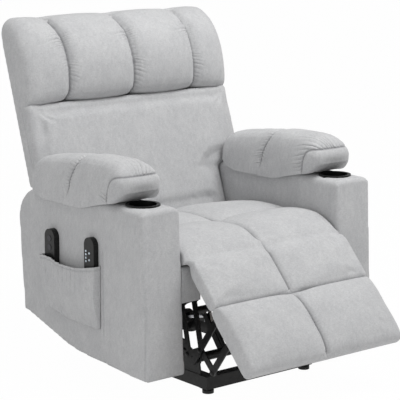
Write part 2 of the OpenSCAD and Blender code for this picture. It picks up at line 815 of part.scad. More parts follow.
rod_along = 110;
rod_small = 5;
module carrier_links() {
    tail = polar(cross_pivot, -carrier_tail, carrier_lean);
    color(steel) {
        both() slab(carrier_x, carrier_x + bar_t) difference() {
            union() {
                bar(tail, carrier_pivot, bar_w);
                bar(cross_pivot, swing_end, bar_w);
                bar(tail, swing_end, bar_w - 4);
            }
            translate(cross_pivot) circle(pin_r + pin_play);
        }
        both() for (p = [carrier_pivot, swing_end]) across(p, pin_r, drive_x - 0.4, carrier_x + 1);
        across(polar(cross_pivot, rod_along, carrier_lean), rod_small, -carrier_x - 1, carrier_x + 1);
    }
}

module lower_links() {
    color(steel) {
        both() slab(carrier_x, carrier_x + bar_t) difference() {
            bar(elbow_pivot, lower_pivot, bar_w);
            translate(elbow_pivot) circle(pin_r + pin_play);
        }
        both() across(lower_pivot, pin_r, drive_x - 0.4, carrier_x + 1);
    }
}

// Footrest frame: s runs down the board from its upper edge, h stands off its underside
board_lean = 226.2;
board_t = 12;
board_top = [-112, 303];
function on_board(s, h) = polar(polar(board_top, s, board_lean), h, board_lean - 90);
module in_board() {
    translate([0, board_top[0], board_top[1]]) rotate([board_lean - 180, 0, 0]) children();
}
// The board's own axes: -Y runs down it and +Z stands off it
board_skirt = 20;
board_edge = 14;
board_half = leg_pad_x - 28;
module foot_brackets() {
    foot = 20;
    color(steel) both() {
        slab(drive_x, drive_x + bar_t) difference() {
            union() {
                polygon([on_board(board_edge + 2, -0.2), carrier_pivot + [9, 2], carrier_pivot + [2, -9],
                    lower_pivot + [4, -9], lower_pivot + [-7, -7], on_board(110, -0.2)]);
                translate(carrier_pivot) circle(11);
                translate(lower_pivot) circle(11);
            }
            translate(carrier_pivot) circle(pin_r + pin_play);
            translate(lower_pivot) circle(pin_r + loop_play);
        }
        in_board() block([drive_x - foot, -110, -3.2], [drive_x + bar_t, -board_edge - 2, -0.2]);
    }
}

module foot_board() {
    color(wood) in_board()
        block([-board_half, board_edge - foot_pad_len, 0], [board_half, -board_edge, board_t]);
}

// A cushion between two places down the board, from h0 off its underside to edge_t above that
module leg_loft(s0, s1, h0, edge_t, crown, groove, n) {
    loft([for (u = stations(16)) let (
        x = u * leg_pad_x, f = fullness(u, 4), dent = groove * dip(x, 11))
        [for (p = box_loop([0, 0], [1, 1], 0.42, n)) let (
            rise = edge_t * (0.9 + 0.1 * f) + (crown * fullness(2 * p[0] - 1, 2) * f) - dent)
            [x, -(s0 + (s1 - s0) * p[0]), h0 + rise * p[1]]]]);
}

seam_gap = 0.5;
module foot_pad() {
    color(cloth) in_board() difference() {
        leg_loft(seam_gap, foot_pad_len, -board_skirt, leg_pad_t, 26, 7, 28);
        block([-board_half - 0.5, board_edge - foot_pad_len - 0.5, -2 * board_skirt],
            [board_half + 0.5, -board_edge + 0.5, board_t + 0.3]);
        both() block([drive_x - 3, -board_edge, -2 * board_skirt], [carrier_x + bar_t + 3, -5, -3]);
    }
}

// The calf pad runs from the seat's front edge down to the footrest's upper edge
calf_len = 169;
calf_drop = 5;
module calf_pad() {
    color(cloth) in_board()
        leg_loft(-calf_len, -seam_gap, calf_drop - board_skirt, leg_pad_t - calf_drop, 0, 6, 24);
}

// ---- handsets: w across, h up, and the face turned away from the arm ----

set_lift = [441, 318, 52, 158, 19];
set_massage = [234, 322, 50, 162, 18];
set_gap = 0.3;

module set_outline(w, h) {
    r = w / 2;
    translate([8, 8]) circle(8);
    translate([w - 8, 8]) circle(8);
    translate([8, 0]) square([w - 16, h - r]);
    translate([0, 8]) square([w, h - r - 8]);
    intersection() {
        translate([r, h - r]) circle(r);
        square([w, h]);
    }
}

module handset(s) {
    difference() {
        translate([-s[4], 0, 0]) slab(0, s[4]) translate([s[0], s[1]]) set_outline(s[2], s[3]);
        children();
    }
}

// X of the handsets' outer face on the sitter's right
set_face = -(arm_out + set_gap);
button_h = 1.4;
button_play = 0.3;
well = 4;

module at_set() { translate([set_face, 0, 0]) children(); }

module round_key(p, r, x0, x1) { slab(x0, x1) translate(p) circle(r); }

lift_keys = [[467, 446], [467, 418]];
lift_key_r = 9;
module lift_handset() {
    color(plastic) at_set() handset(set_lift)
        for (p = lift_keys)
            round_key(p, lift_key_r + button_play, -set_lift[4] - 1, -set_lift[4] + well);
}

module lift_key(i) {
    color(zinc) at_set()
        round_key(lift_keys[i], lift_key_r, -set_lift[4] - button_h, -set_lift[4] + well - 1.2);
}

// Two columns: four small keys near the rear edge, two tall keys beside them
key_step = 10.5;
key_top = 441;
small_y = 273;
tall_y = 256;
massage_keys = concat([for (i = [0:3]) [small_y, key_top - i * key_step]],
    [for (i = [0:1]) [tall_y, key_top - 5 - i * 2 * key_step]]);
massage_key_r = 3.2;
window_z = 456;
module massage_handset() {
    color(plastic) at_set() handset(set_massage) {
        for (p = massage_keys)
            round_key(p, massage_key_r + button_play, -set_massage[4] - 1, -set_massage[4] + well);
        slab(-set_massage[4] - 1, -set_massage[4] + 1.2) translate([247, window_z]) square([25, 9]);
    }
    color(button_white) at_set() slab(-set_massage[4] + 0.2, -set_massage[4] + 1.2)
        translate([247, window_z]) square([25, 9]);
}

module massage_button(i) {
    color(button_white) at_set()
        round_key(massage_keys[i], massage_key_r, -set_massage[4] - button_h, -set_massage[4] + well - 1.2);
}

placed() base_cross_rails();
placed() base_side_rails();
placed() base_end_caps();
placed() base_feet();
placed() base_lift_plates();
placed() lift_bracket();
placed() lift_motor();
placed() control_box();
placed() front_lift_links();
placed() rear_lift_links();
placed() lift_rod();
placed() side_plates();
placed() chassis_cross_tube();
placed() seat_side_rails();
placed() seat_cross_rails();
placed() seat_springs();
placed() seat_front_cover();
placed() seat_cushion();
placed() mirror([1, 0, 0]) arm();  // arm_right
placed() arm();  // arm_left
placed() mirror([1, 0, 0]) arm_pad();  // arm_pad_right
placed() arm_pad();  // arm_pad_left
placed() mirror([1, 0, 0]) cup_holder();  // cup_holder_right
placed() cup_holder();  // cup_holder_left
placed() mirror([1, 0, 0]) pocket();  // pocket_right
placed() pocket();  // pocket_left
placed() rear_cover();
placed() recline_motor();
placed() recline_rod();
placed() back_hinge_plates();
placed() back_arms();
placed() back_frame();
placed() back_shell();
placed() back_cushion();
placed() head_cushion();
placed() drive_links();
placed() swing_links();
placed() carrier_links();
placed() lower_links();
placed() foot_brackets();
placed() foot_board();
placed() foot_pad();
placed() calf_pad();
placed() lift_handset();
placed() lift_key(0);  // lift_up_button
placed() lift_key(1);  // lift_down_button
placed() massage_handset();
placed() massage_button(0);  // massage_button_1
placed() massage_button(1);  // massage_button_2
placed() massage_button(2);  // massage_button_3
placed() massage_button(3);  // massage_button_4
placed() massage_button(4);  // massage_button_5
placed() massage_button(5);  // massage_button_6
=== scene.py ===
import bpy
import bmesh
import math
import numpy as np
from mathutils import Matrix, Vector
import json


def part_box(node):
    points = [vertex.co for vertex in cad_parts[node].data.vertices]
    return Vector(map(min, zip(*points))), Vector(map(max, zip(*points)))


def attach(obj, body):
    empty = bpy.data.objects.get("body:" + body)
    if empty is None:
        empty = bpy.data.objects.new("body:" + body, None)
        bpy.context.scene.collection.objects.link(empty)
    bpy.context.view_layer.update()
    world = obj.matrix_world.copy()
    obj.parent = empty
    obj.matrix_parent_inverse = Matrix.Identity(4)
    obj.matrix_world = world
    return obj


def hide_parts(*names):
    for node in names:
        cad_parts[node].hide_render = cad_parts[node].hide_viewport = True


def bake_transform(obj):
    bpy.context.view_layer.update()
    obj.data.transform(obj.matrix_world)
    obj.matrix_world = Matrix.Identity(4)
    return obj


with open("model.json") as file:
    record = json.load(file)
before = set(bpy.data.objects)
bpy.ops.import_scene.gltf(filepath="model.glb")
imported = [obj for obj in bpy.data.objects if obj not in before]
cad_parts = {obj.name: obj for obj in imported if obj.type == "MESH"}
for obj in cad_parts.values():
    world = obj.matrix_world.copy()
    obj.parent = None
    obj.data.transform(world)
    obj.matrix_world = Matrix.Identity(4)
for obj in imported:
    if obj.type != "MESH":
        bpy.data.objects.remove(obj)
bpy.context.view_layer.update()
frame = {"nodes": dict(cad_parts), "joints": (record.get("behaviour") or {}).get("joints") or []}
nodes = frame["nodes"]
scene = bpy.context.scene

# ---------------------------------------------------------------------------------------------
# Floor frame: square steel tube, welded, powder-coated black, with plastic end caps and glides.
# The coat is a fine orange peel with a soft gloss.


def new_material(name, base, roughness, metallic=0.0, sheen=0.0, specular=0.5):
    """An empty procedural material; returns it with its tree, shader and Object coordinates."""
    mat = bpy.data.materials.new(name)
    mat.use_nodes = True
    tree = mat.node_tree
    shader = tree.nodes["Principled BSDF"]
    shader.inputs["Base Color"].default_value = (*base, 1)
    shader.inputs["Roughness"].default_value = roughness
    shader.inputs["Metallic"].default_value = metallic
    shader.inputs["Sheen Weight"].default_value = sheen
    shader.inputs["Specular IOR Level"].default_value = specular
    coords = tree.nodes.new("ShaderNodeTexCoord").outputs["Object"]
    return mat, tree, shader, coords


def stretched(tree, coords, scale):
    """Coordinates scaled apart in X, Y and Z, for a pattern with a grain."""
    mapping = tree.nodes.new("ShaderNodeMapping")
    mapping.inputs["Scale"].default_value = scale
    tree.links.new(coords, mapping.inputs["Vector"])
    return mapping.outputs["Vector"]


def noise(tree, vector, scale, detail=2.0, roughness=0.5):
    node = tree.nodes.new("ShaderNodeTexNoise")
    node.inputs["Scale"].default_value = scale
    node.inputs["Detail"].default_value = detail
    node.inputs["Roughness"].default_value = roughness
    tree.links.new(vector, node.inputs["Vector"])
    return node.outputs["Fac"]


def ramp(tree, value, stops):
    """Colour ramp over (place, colour) stops."""
    node = tree.nodes.new("ShaderNodeValToRGB")
    while len(node.color_ramp.elements) < len(stops):
        node.color_ramp.elements.new(0.5)
    for element, (place, color) in zip(node.color_ramp.elements, stops):
        element.position = place
        element.color = (*color, 1)
    tree.links.new(value, node.inputs["Fac"])
    return node.outputs["Color"]


def mixed(tree, factor, a, b, blend="MIX"):
    """Mix of two colours, where factor is a number or a socket."""
    node = tree.nodes.new("ShaderNodeMix")
    node.data_type = "RGBA"
    node.blend_type = blend
    if isinstance(factor, float):
        node.inputs["Factor"].default_value = factor
    else:
        tree.links.new(factor, node.inputs["Factor"])
    for socket, value in (("A", a), ("B", b)):
        target = [s for s in node.inputs if s.name == socket and s.type == "RGBA"][0]
        if isinstance(value, tuple):
            target.default_value = (*value, 1)
        else:
            tree.links.new(value, target)
    return [s for s in node.outputs if s.type == "RGBA"][0]


def bump(tree, shader, height, strength, distance, under=None):
    """Puts a bump on the shader, over an earlier one where it is given."""
    node = tree.nodes.new("ShaderNodeBump")
    node.inputs["Strength"].default_value = strength
    node.inputs["Distance"].default_value = distance
    tree.links.new(height, node.inputs["Height"])
    if under is not None:
        tree.links.new(under, node.inputs["Normal"])
    tree.links.new(node.outputs["Normal"], shader.inputs["Normal"])
    return node.outputs["Normal"]


def dress(material, *names):
    """Gives CAD nodes that keep their own shape their finish."""
    for name in names:
        data = nodes[name].data
        data.materials.clear()
        data.materials.append(material)


def powder_coat():
    mat, tree, shader, coords = new_material("black_powder_coat", (0.007, 0.007, 0.007), 0.48,
                                             specular=0.28)
    cloud = noise(tree, coords, 26, 4)
    color = ramp(tree, cloud, [(0.3, (0.005, 0.005, 0.005)), (0.75, (0.012, 0.012, 0.012))])
    tree.links.new(color, shader.inputs["Base Color"])
    rough = ramp(tree, noise(tree, coords, 90, 3), [(0.3, (0.40,) * 3), (0.7, (0.56,) * 3)])
    tree.links.new(rough, shader.inputs["Roughness"])
    bump(tree, shader, noise(tree, coords, 1400, 2), 0.12, 0.0003)
    return mat


black_steel = powder_coat()
dress(black_steel, "base_cross_rails", "base_side_rails", "base_lift_plates", "lift_bracket")


def moulded_plastic(name, base, roughness, grain):
    """Plastic with a faint cloud of a lighter tone and a spark-eroded grain."""
    mat, tree, shader, coords = new_material(name, base, roughness, specular=0.3)
    lighter = tuple(c * 1.5 + 0.002 for c in base)
    color = ramp(tree, noise(tree, coords, 40, 3), [(0.35, base), (0.8, lighter)])
    tree.links.new(color, shader.inputs["Base Color"])
    bump(tree, shader, noise(tree, coords, grain, 3, 0.6), 0.18, 0.0003)
    return mat


glide_plastic = moulded_plastic("glide_plastic", (0.007, 0.007, 0.007), 0.5, 900)
dress(glide_plastic, "base_end_caps", "base_feet")

# ---------------------------------------------------------------------------------------------
# Drive: two screw motors in moulded housings, a control box, and bright zinc-plated push rods.
# The rods are drawn bar with fine rings left by the die, under a thin film of grease.

housing_plastic = moulded_plastic("housing_plastic", (0.008, 0.008, 0.008), 0.46, 700)
dress(housing_plastic, "lift_motor", "recline_motor", "control_box")


def zinc_plate():
    mat, tree, shader, coords = new_material("zinc_plate", (0.52, 0.53, 0.55), 0.34, metallic=1.0)
    drawn = noise(tree, stretched(tree, coords, (60, 900, 900)), 1.0, 3)
    color = ramp(tree, drawn, [(0.3, (0.42, 0.43, 0.45)), (0.7, (0.6, 0.61, 0.63))])
    tree.links.new(color, shader.inputs["Base Color"])
    bump(tree, shader, drawn, 0.15, 0.0003)
    return mat


zinc = zinc_plate()
dress(zinc, "lift_rod", "recline_rod", "seat_springs")

# ---------------------------------------------------------------------------------------------
# Steel links and plates of the lift and of the footrest, stamped from flat bar and riveted.
# Each pin is closed by a domed rivet head over a thin washer.

dress(black_steel, "front_lift_links", "rear_lift_links", "side_plates", "chassis_cross_tube",
      "back_hinge_plates", "back_arms", "drive_links", "swing_links", "carrier_links",
      "lower_links", "foot_brackets")


def link(name, data):
    piece = bpy.data.objects.new(name, data)
    scene.collection.objects.link(piece)
    return piece


def evaluated(piece):
    """The piece's mesh with its modifiers applied."""
    depsgraph = bpy.context.evaluated_depsgraph_get()
    return bpy.data.meshes.new_from_object(piece.evaluated_get(depsgraph), depsgraph=depsgraph)


def head_tree():
    """Geometry Nodes: a washer and a domed head at each point, facing along its facing vector."""
    tree = bpy.data.node_groups.new("domed_heads", "GeometryNodeTree")
    sockets = tree.interface
    sockets.new_socket("Places", in_out="INPUT", socket_type="NodeSocketGeometry")
    for title, size in (("Radius", 0.008), ("Height", 0.0028), ("Washer", 0.001)):
        socket = sockets.new_socket(title, in_out="INPUT", socket_type="NodeSocketFloat")
        socket.default_value = size
    sockets.new_socket("Finish", in_out="INPUT", socket_type="NodeSocketMaterial")
    sockets.new_socket("Heads", in_out="OUTPUT", socket_type="NodeSocketGeometry")
    add, join = tree.nodes.new, tree.links.new
    given = add("NodeGroupInput")
    result = add("NodeGroupOutput")
    dome = add("GeometryNodeMeshUVSphere")
    dome.inputs["Segments"].default_value = 20
    dome.inputs["Rings"].default_value = 10
    dome.inputs["Radius"].default_value = 1.0
    size = add("ShaderNodeCombineXYZ")
    join(given.outputs["Radius"], size.inputs["X"])
    join(given.outputs["Radius"], size.inputs["Y"])
    join(given.outputs["Height"], size.inputs["Z"])
    shaped = add("GeometryNodeTransform")
    join(dome.outputs["Mesh"], shaped.inputs["Geometry"])
    join(size.outputs["Vector"], shaped.inputs["Scale"])
    wide = add("ShaderNodeMath")
    wide.operation = "MULTIPLY"
    wide.inputs[1].default_value = 1.3
    join(given.outputs["Radius"], wide.inputs[0])
    washer = add("GeometryNodeMeshCylinder")
    washer.inputs["Vertices"].default_value = 24
    join(wide.outputs["Value"], washer.inputs["Radius"])
    join(given.outputs["Washer"], washer.inputs["Depth"])
    both = add("GeometryNodeJoinGeometry")
    join(shaped.outputs["Geometry"], both.inputs["Geometry"])
    join(washer.outputs["Mesh"], both.inputs["Geometry"])
    facing = add("GeometryNodeInputNamedAttribute")
    facing.data_type = "FLOAT_VECTOR"
    facing.inputs["Name"].default_value = "facing"
    turned = add("FunctionNodeAlignRotationToVector")
    turned.axis = "Z"
    join(facing.outputs["Attribute"], turned.inputs["Vector"])
    placed = add("GeometryNodeInstanceOnPoints")
    join(given.outputs["Places"], placed.inputs["Points"])
    join(both.outputs["Geometry"], placed.inputs["Instance"])
    join(turned.outputs["Rotation"], placed.inputs["Rotation"])
    real = add("GeometryNodeRealizeInstances")
    join(placed.outputs["Instances"], real.inputs["Geometry"])
    finish = add("GeometryNodeSetMaterial")
    join(real.outputs["Geometry"], finish.inputs["Geometry"])
    join(given.outputs["Finish"], finish.inputs["Material"])
    join(finish.outputs["Geometry"], result.inputs["Heads"])
    return tree


domed_heads = head_tree()


def heads(name, body, places, facing, radius, height, material):
    """One mesh of domed heads on a body, at places that all face one way or mirror in X."""
    points = [(sign * x, y, z) for x, y, z in places for sign in (-1, 1)]
    data = bpy.data.meshes.new(name)
    data.from_pydata(points, [], [])
    ways = data.attributes.new("facing", "FLOAT_VECTOR", "POINT")
    for place, way in zip(points, ways.data):
        way.vector = (math.copysign(facing[0], place[0]), facing[1], facing[2])
    piece = link(name, data)
    maker = piece.modifiers.new("heads", "NODES")
    maker.node_group = domed_heads
    values = {"Radius": radius, "Height": height, "Finish": material}
    for socket in domed_heads.interface.items_tree:
        if socket.in_out == "INPUT" and socket.name in values:
            maker[socket.identifier] = values[socket.name]
    piece.data = evaluated(piece)
    piece.modifiers.clear()
    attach(piece, body)


def pivot(name):
    """Side-view place of a joint's pin."""
    joint = [j for j in frame["joints"] if j["name"] == name][0]
    return Vector(joint["pos_m"][1:])


OUTER_FACE = 0.237
REAR_LIFT_PIN = (0.225, 0.278, 0.200)
FLANGE_X = 0.303
FLANGE_Z = 0.326
SCREWS_ALONG = (-0.21, -0.08, 0.05, 0.18, 0.30)
drive_pin = pivot("footrest_swing_out")
swing_pin = pivot("footrest_swing_link")
cross_pin = pivot("footrest_cross")
elbow_pin = pivot("footrest_elbow")
carrier_pin = pivot("footrest_tip")
lower_pin = carrier_pin + elbow_pin - cross_pin
swing_eye = cross_pin + swing_pin - drive_pin
for body, pins in (("footrest_drive", (cross_pin, elbow_pin)),
                   ("footrest_carrier", (carrier_pin, swing_eye)),
                   ("footrest_lower", (lower_pin,))):
    heads(f"{body}_rivets", body, [(OUTER_FACE, *pin) for pin in pins], (1, 0, 0),
          radius=0.0075, height=0.0032, material=black_steel)
heads("lift_rivets", "chassis", [REAR_LIFT_PIN], (1, 0, 0), radius=0.0095, height=0.0035,
      material=black_steel)
heads("flange_screws", "chassis", [(FLANGE_X, y, FLANGE_Z) for y in SCREWS_ALONG], (0, 0, -1),
      radius=0.0048, height=0.0026, material=zinc)

# ---------------------------------------------------------------------------------------------
# Seat and back frames of planed wood, with sawn end grain and pale sapwood streaks.


def planed_wood():
    mat, tree, shader, coords = new_material("planed_wood", (0.55, 0.4, 0.25), 0.6)
    grain = noise(tree, stretched(tree, coords, (6, 90, 90)), 1.0, 5, 0.6)
    color = ramp(tree, grain, [(0.3, (0.42, 0.28, 0.16)), (0.7, (0.62, 0.47, 0.3))])
    tree.links.new(color, shader.inputs["Base Color"])
    bump(tree, shader, grain, 0.2, 0.0004)
    return mat


wood = planed_wood()
dress(wood, "seat_side_rails", "seat_cross_rails", "back_frame", "foot_board")

# ---------------------------------------------------------------------------------------------
# Arms: padded boxes covered in a light grey chenille, a short soft pile on a faintly ribbed
# ground. The cover is stretched over foam and sewn at the front corner.


def chenille():
    """Short pile in fine upright ribs, brushed by hands, darkened with painted shade along its
    seams and in the creases of its gathers.
    """
    mat, tree, shader, coords = new_material("grey_chenille", (0.49, 0.49, 0.49), 0.94, sheen=0.2,
                                             specular=0.15)
    shader.inputs["Sheen Roughness"].default_value = 0.5
    yarn = noise(tree, stretched(tree, coords, (380, 380, 120)), 1.0, 3, 0.65)
    tufts = noise(tree, stretched(tree, coords, (150, 150, 480)), 1.0, 2, 0.6)
    pile = mixed(tree, 0.5, yarn, tufts)
    strokes = noise(tree, stretched(tree, coords, (85, 85, 45)), 1.0, 4, 0.6)
    patches = noise(tree, stretched(tree, coords, (17, 17, 12)), 1.0, 3, 0.5)
    tone = ramp(tree, pile, [(0.32, (0.505, 0.507, 0.511)), (0.68, (0.65, 0.652, 0.657))])
    brushed = ramp(tree, strokes, [(0.32, (0.905, 0.906, 0.911)), (0.68, (1.0, 1.0, 1.0))])
    faded = ramp(tree, patches, [(0.35, (0.935, 0.936, 0.941)), (0.65, (1.0, 1.0, 1.0))])
    color = mixed(tree, 1.0, mixed(tree, 1.0, tone, brushed, "MULTIPLY"), faded, "MULTIPLY")
    # Painted shade: the colour is darkened where the mesh's mask of seam grooves and fold creases
    # is set.
    painted_crease_shade = tree.nodes.new("ShaderNodeAttribute")
    painted_crease_shade.attribute_name = "painted_crease_shade"
    crease_shade = mixed(tree, 1.0, color, (0.54, 0.54, 0.55), "MULTIPLY")
    color = mixed(tree, painted_crease_shade.outputs["Fac"], color, crease_shade)
    tree.links.new(color, shader.inputs["Base Color"])
    soft = bump(tree, shader, strokes, 0.10, 0.003)
    bump(tree, shader, pile, 0.4, 0.0012, under=soft)
    return mat


grey_chenille = chenille()


def merged_copy(*names):
    """One bmesh of CAD solids, with each solid's loose triangles joined."""
    bm = bmesh.new()
    for name in names:
        bm.from_mesh(nodes[name].data)
    bmesh.ops.remove_doubles(bm, verts=bm.verts, dist=1e-6)
    return bm


def points_of(mesh):
    co = np.empty(len(mesh.vertices) * 3)
    mesh.vertices.foreach_get("co", co)
    return co.reshape(-1, 3)


def put_points(mesh, co):
    mesh.vertices.foreach_set("co", co.ravel())
    mesh.update()


def edges_of(mesh):
    ends = np.empty(len(mesh.edges) * 2, int)
    mesh.edges.foreach_get("vertices", ends)
    return ends.reshape(-1, 2)


def averaged(co, ends, rounds, pull=0.6, push=-0.62):
    """Softens a mesh: each point goes towards its neighbours' mean, then back out by the push."""
    count = np.maximum(np.bincount(ends.ravel(), minlength=len(co)), 1)[:, None]
    for step in range(2 * rounds):
        total = np.zeros_like(co)
        for a, b in ((0, 1), (1, 0)):
            for axis in range(3):
                total[:, axis] += np.bincount(ends[:, a], co[ends[:, b], axis], len(co))
        co = co + (push if step % 2 else pull) * (total / count - co)
    return co


def normals_of(mesh):
    no = np.empty(len(mesh.vertices) * 3)
    mesh.vertices.foreach_get("normal", no)
    return no.reshape(-1, 3)


INWARD_UNDONE = 0.85


def upholstered(name, sources, voxel, rounds, pressure=4.0, cap=0.012, shrink=0.0, held=None,
                frames=20, reshape=None, filler=None, levels=1):
    """A padded cover over CAD solids: remeshed, softened, swollen as cloth, then subdivided."""
    bm = merged_copy(*sources)
    if filler:
        bm.from_mesh(filler)
    raw = bpy.data.meshes.new(name)
    bm.to_mesh(raw)
    bm.free()
    if reshape:
        put_points(raw, reshape(points_of(raw)))
    piece = link(name, raw)
    remesh = piece.modifiers.new("remesh", "REMESH")
    remesh.mode = "VOXEL"
    remesh.voxel_size = voxel
    piece.data = evaluated(piece)
    piece.modifiers.clear()
    mesh = piece.data
    co = averaged(points_of(mesh), edges_of(mesh), rounds)
    put_points(mesh, co)
    if shrink:
        co = co - normals_of(mesh) * shrink
        put_points(mesh, co)
    if pressure:
        start_normals = normals_of(mesh)
        weights = np.zeros(len(co)) if held is None else held(co)
        group = piece.vertex_groups.new(name="held")
        for level in np.unique(np.round(weights, 1)):
            if level > 0:
                chosen = np.nonzero(np.round(weights, 1) == level)[0]
                group.add([int(i) for i in chosen], float(level), "REPLACE")
        cloth = piece.modifiers.new("swell", "CLOTH")
        settings = cloth.settings
        settings.quality = 4
        settings.mass = 0.4
        settings.tension_stiffness = 12
        settings.compression_stiffness = 12
        settings.shear_stiffness = 4
        settings.bending_stiffness = 0.6
        settings.use_pressure = True
        settings.uniform_pressure_force = pressure
        settings.effector_weights.gravity = 0
        settings.vertex_group_mass = "held"
        cloth.point_cache.frame_start = 1
        cloth.point_cache.frame_end = frames
        for number in range(1, frames + 1):
            scene.frame_set(number)
        move = points_of(evaluated(piece)) - co
        outward = (move * start_normals).sum(axis=1, keepdims=True)
        move -= INWARD_UNDONE * np.minimum(outward, 0) * start_normals
        far = np.linalg.norm(move, axis=1, keepdims=True)
        move *= np.minimum(1, cap / np.maximum(far, 1e-9))
        piece.modifiers.clear()
        piece.vertex_groups.clear()
        scene.frame_set(1)
        co = averaged(co + move, edges_of(mesh), 2)
        put_points(mesh, co)
    fine = piece.modifiers.new("fine", "SUBSURF")
    fine.levels = fine.render_levels = levels
    piece.data = evaluated(piece)
    piece.modifiers.clear()
    piece.data.materials.clear()
    piece.data.materials.append(grey_chenille)
    piece.data.shade_smooth()
    return piece


def refined(piece, near):
    """Doubles the mesh's density where its points are near a seam."""
    bm = bmesh.new()
    bm.from_mesh(piece.data)
    marks = near.tolist()
    fine = [e for e in bm.edges if marks[e.verts[0].index] and marks[e.verts[1].index]]
    bmesh.ops.subdivide_edges(bm, edges=fine, cuts=1, use_grid_fill=True)
    bm.to_mesh(piece.data)
    bm.free()
    piece.data.shade_smooth()


DRAWS = 4096


def waves(place, seed):
    """Smooth unevenness between 0 and 1, about one rise for every two steps of the place."""
    heights = np.random.default_rng(seed).uniform(0, 1, DRAWS)
    place = place + DRAWS // 2
    low = np.floor(place).astype(int)
    share = place - low
    share = share * share * (3 - 2 * share)
    return heights[low % DRAWS] * (1 - share) + heights[(low + 1) % DRAWS] * share


def puckers(along, pitch, seed):
    """Round folds with sharp creases between, uneven in width and height, from -0.5 to 0.5."""
    place = along / pitch + 0.9 * waves(along / (2.3 * pitch), seed)
    share = place - np.floor(place)
    puff = np.sqrt(np.clip(4 * share * (1 - share), 0, 1))
    heights = np.random.default_rng(seed + 500).uniform(0.35, 1.0, DRAWS)
    return (puff - 0.55) * heights[(np.floor(place).astype(int) + DRAWS // 2) % DRAWS]


def paint_crease_shade(mesh, share):
    """Marks painted shade in seam grooves and fold creases, from 0 to 1, for the cloth's colour.
    """
    marks = mesh.attributes.get("painted_crease_shade") or mesh.attributes.new("painted_crease_shade", "FLOAT", "POINT")
    before = np.empty(len(mesh.vertices))
    marks.data.foreach_get("value", before)
    marks.data.foreach_set("value", np.maximum(before, share))


STITCH_LINE = 0.0026


def sew(piece, across, along, depth, width, gather=0.0, reach=0.03, pitch=0.011, seed=1, where=1.0,
        valley=0.0, spread=0.05, crease_shade=1.0):
    """Pulls a seam into a cover where the distance across it is 0, with gathers beside it, and
    paints shade into its groove and between the gathers.
    """
    mesh = piece.data
    co = points_of(mesh)
    near = np.abs(across)
    groove = depth * np.exp(-(near / width) ** 2) + 0.6 * depth * np.exp(-near / (0.22 * width))
    groove = groove + valley * np.exp(-np.abs(near / spread) ** 1.3)
    slant = along + 0.25 * near
    folds = np.where(across > 0, puckers(slant, pitch, seed), puckers(slant, pitch, seed + 1))
    length = reach * (0.35 + 1.2 * waves(slant / pitch, seed + 2))
    fading = np.clip(1.7 * waves(along / (3.2 * pitch), seed + 3) - 0.25, 0.08, 1)
    fading = fading * np.exp(-(near / length) ** 1.5) * np.clip(near / (0.25 * width), 0, 1)
    rise = 2 * gather * folds * fading - groove
    put_points(mesh, co + normals_of(mesh) * (rise * where)[:, None])
    # Painted shade along the stitched groove and in the creases between the gathers, scaled by the
    # crease shade strength.
    line = np.exp(-(near / STITCH_LINE) ** 2)
    between = 0.8 * fading * soft_step(-folds, 0.0, 0.4) * np.clip(gather / 0.003, 0, 1)
    paint_crease_shade(mesh, np.clip(np.maximum(line, between) * where, 0, 1) * crease_shade)


def drawn_to(co, value, axis, low, high, span):
    """Stretches a cover's ends, over the span, so that it reaches from low to high."""
    least, most = value.min(), value.max()
    shift = (low - least) * soft_step(value, least + span, least)
    shift = shift + (high - most) * soft_step(value, most - span, most)
    return co + shift[:, None] * np.array(axis)


def line_held(distance, width=0.009):
    """Weights that hold a swelling cover along its seams."""
    return np.clip(1.6 * np.exp(-(distance / width) ** 2), 0, 1)


def soft_step(value, low, high):
    """Smooth rise from 0 at low to 1 at high, or fall where high is the smaller."""
    share = np.clip((value - low) / (high - low), 0, 1)
    return share * share * (3 - 2 * share)


def finish_cover(piece, body, *replaced):
    """Puts a padded cover on its body in place of the solids that it dresses."""
    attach(piece, body)
    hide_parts(*replaced)


ARM_FRONT = -0.282
ARM_OUT = 0.460
POUCH_FRONT = ARM_FRONT + 0.222
OUTER_SKIN = 0.012
CORNER_SEAM_BACK = 0.0085
POUCH_SEAM_AHEAD = 0.008
SLACK = 0.0016

for seed, side in ((3, "right"), (5, "left")):
    arm = upholstered(f"arm_cover_{side}", [f"arm_{side}"], voxel=0.007, rounds=3, pressure=0)
    co = points_of(arm.data)
    slack = waves(co[:, 1] * 11 + 0.7 * co[:, 2], seed) + waves(co[:, 2] * 9, seed + 1) - 1
    co += normals_of(arm.data) * (SLACK * slack)[:, None]
    put_points(arm.data, co)
    outer = np.abs(co[:, 0]) > ARM_OUT - OUTER_SKIN
    corner_seam = co[:, 1] - ARM_FRONT - CORNER_SEAM_BACK
    pouch_seam = co[:, 1] - POUCH_FRONT + POUCH_SEAM_AHEAD
    refined(arm, outer & ((np.abs(corner_seam) < 0.012) | (np.abs(pouch_seam) < 0.009)))
    co = points_of(arm.data)
    outer = soft_step(np.abs(co[:, 0]), ARM_OUT - OUTER_SKIN, ARM_OUT - OUTER_SKIN / 2)
    # The corner and pocket seams carry only light painted shade in their grooves.
    sew(arm, co[:, 1] - ARM_FRONT - CORNER_SEAM_BACK, co[:, 2], depth=0.0016, width=0.0028,
        gather=0.0005, reach=0.012, pitch=0.013, seed=seed + 2,
        where=outer * soft_step(co[:, 2], 0.56, 0.53), crease_shade=0.2)
    co = points_of(arm.data)
    beside_pouch = soft_step(co[:, 2], 0.46, 0.44)
    sew(arm, co[:, 1] - POUCH_FRONT + POUCH_SEAM_AHEAD, co[:, 2], depth=0.0016, width=0.0028,
        gather=0.0004, reach=0.010, pitch=0.011, seed=seed + 5,
        where=outer * beside_pouch * soft_step(co[:, 2], 0.17, 0.19), crease_shade=0.3)
    finish_cover(arm, "chassis", f"arm_{side}")

# ---------------------------------------------------------------------------------------------
# Cup holders: black moulded cups with a thin rim that presses the cover into the arm.

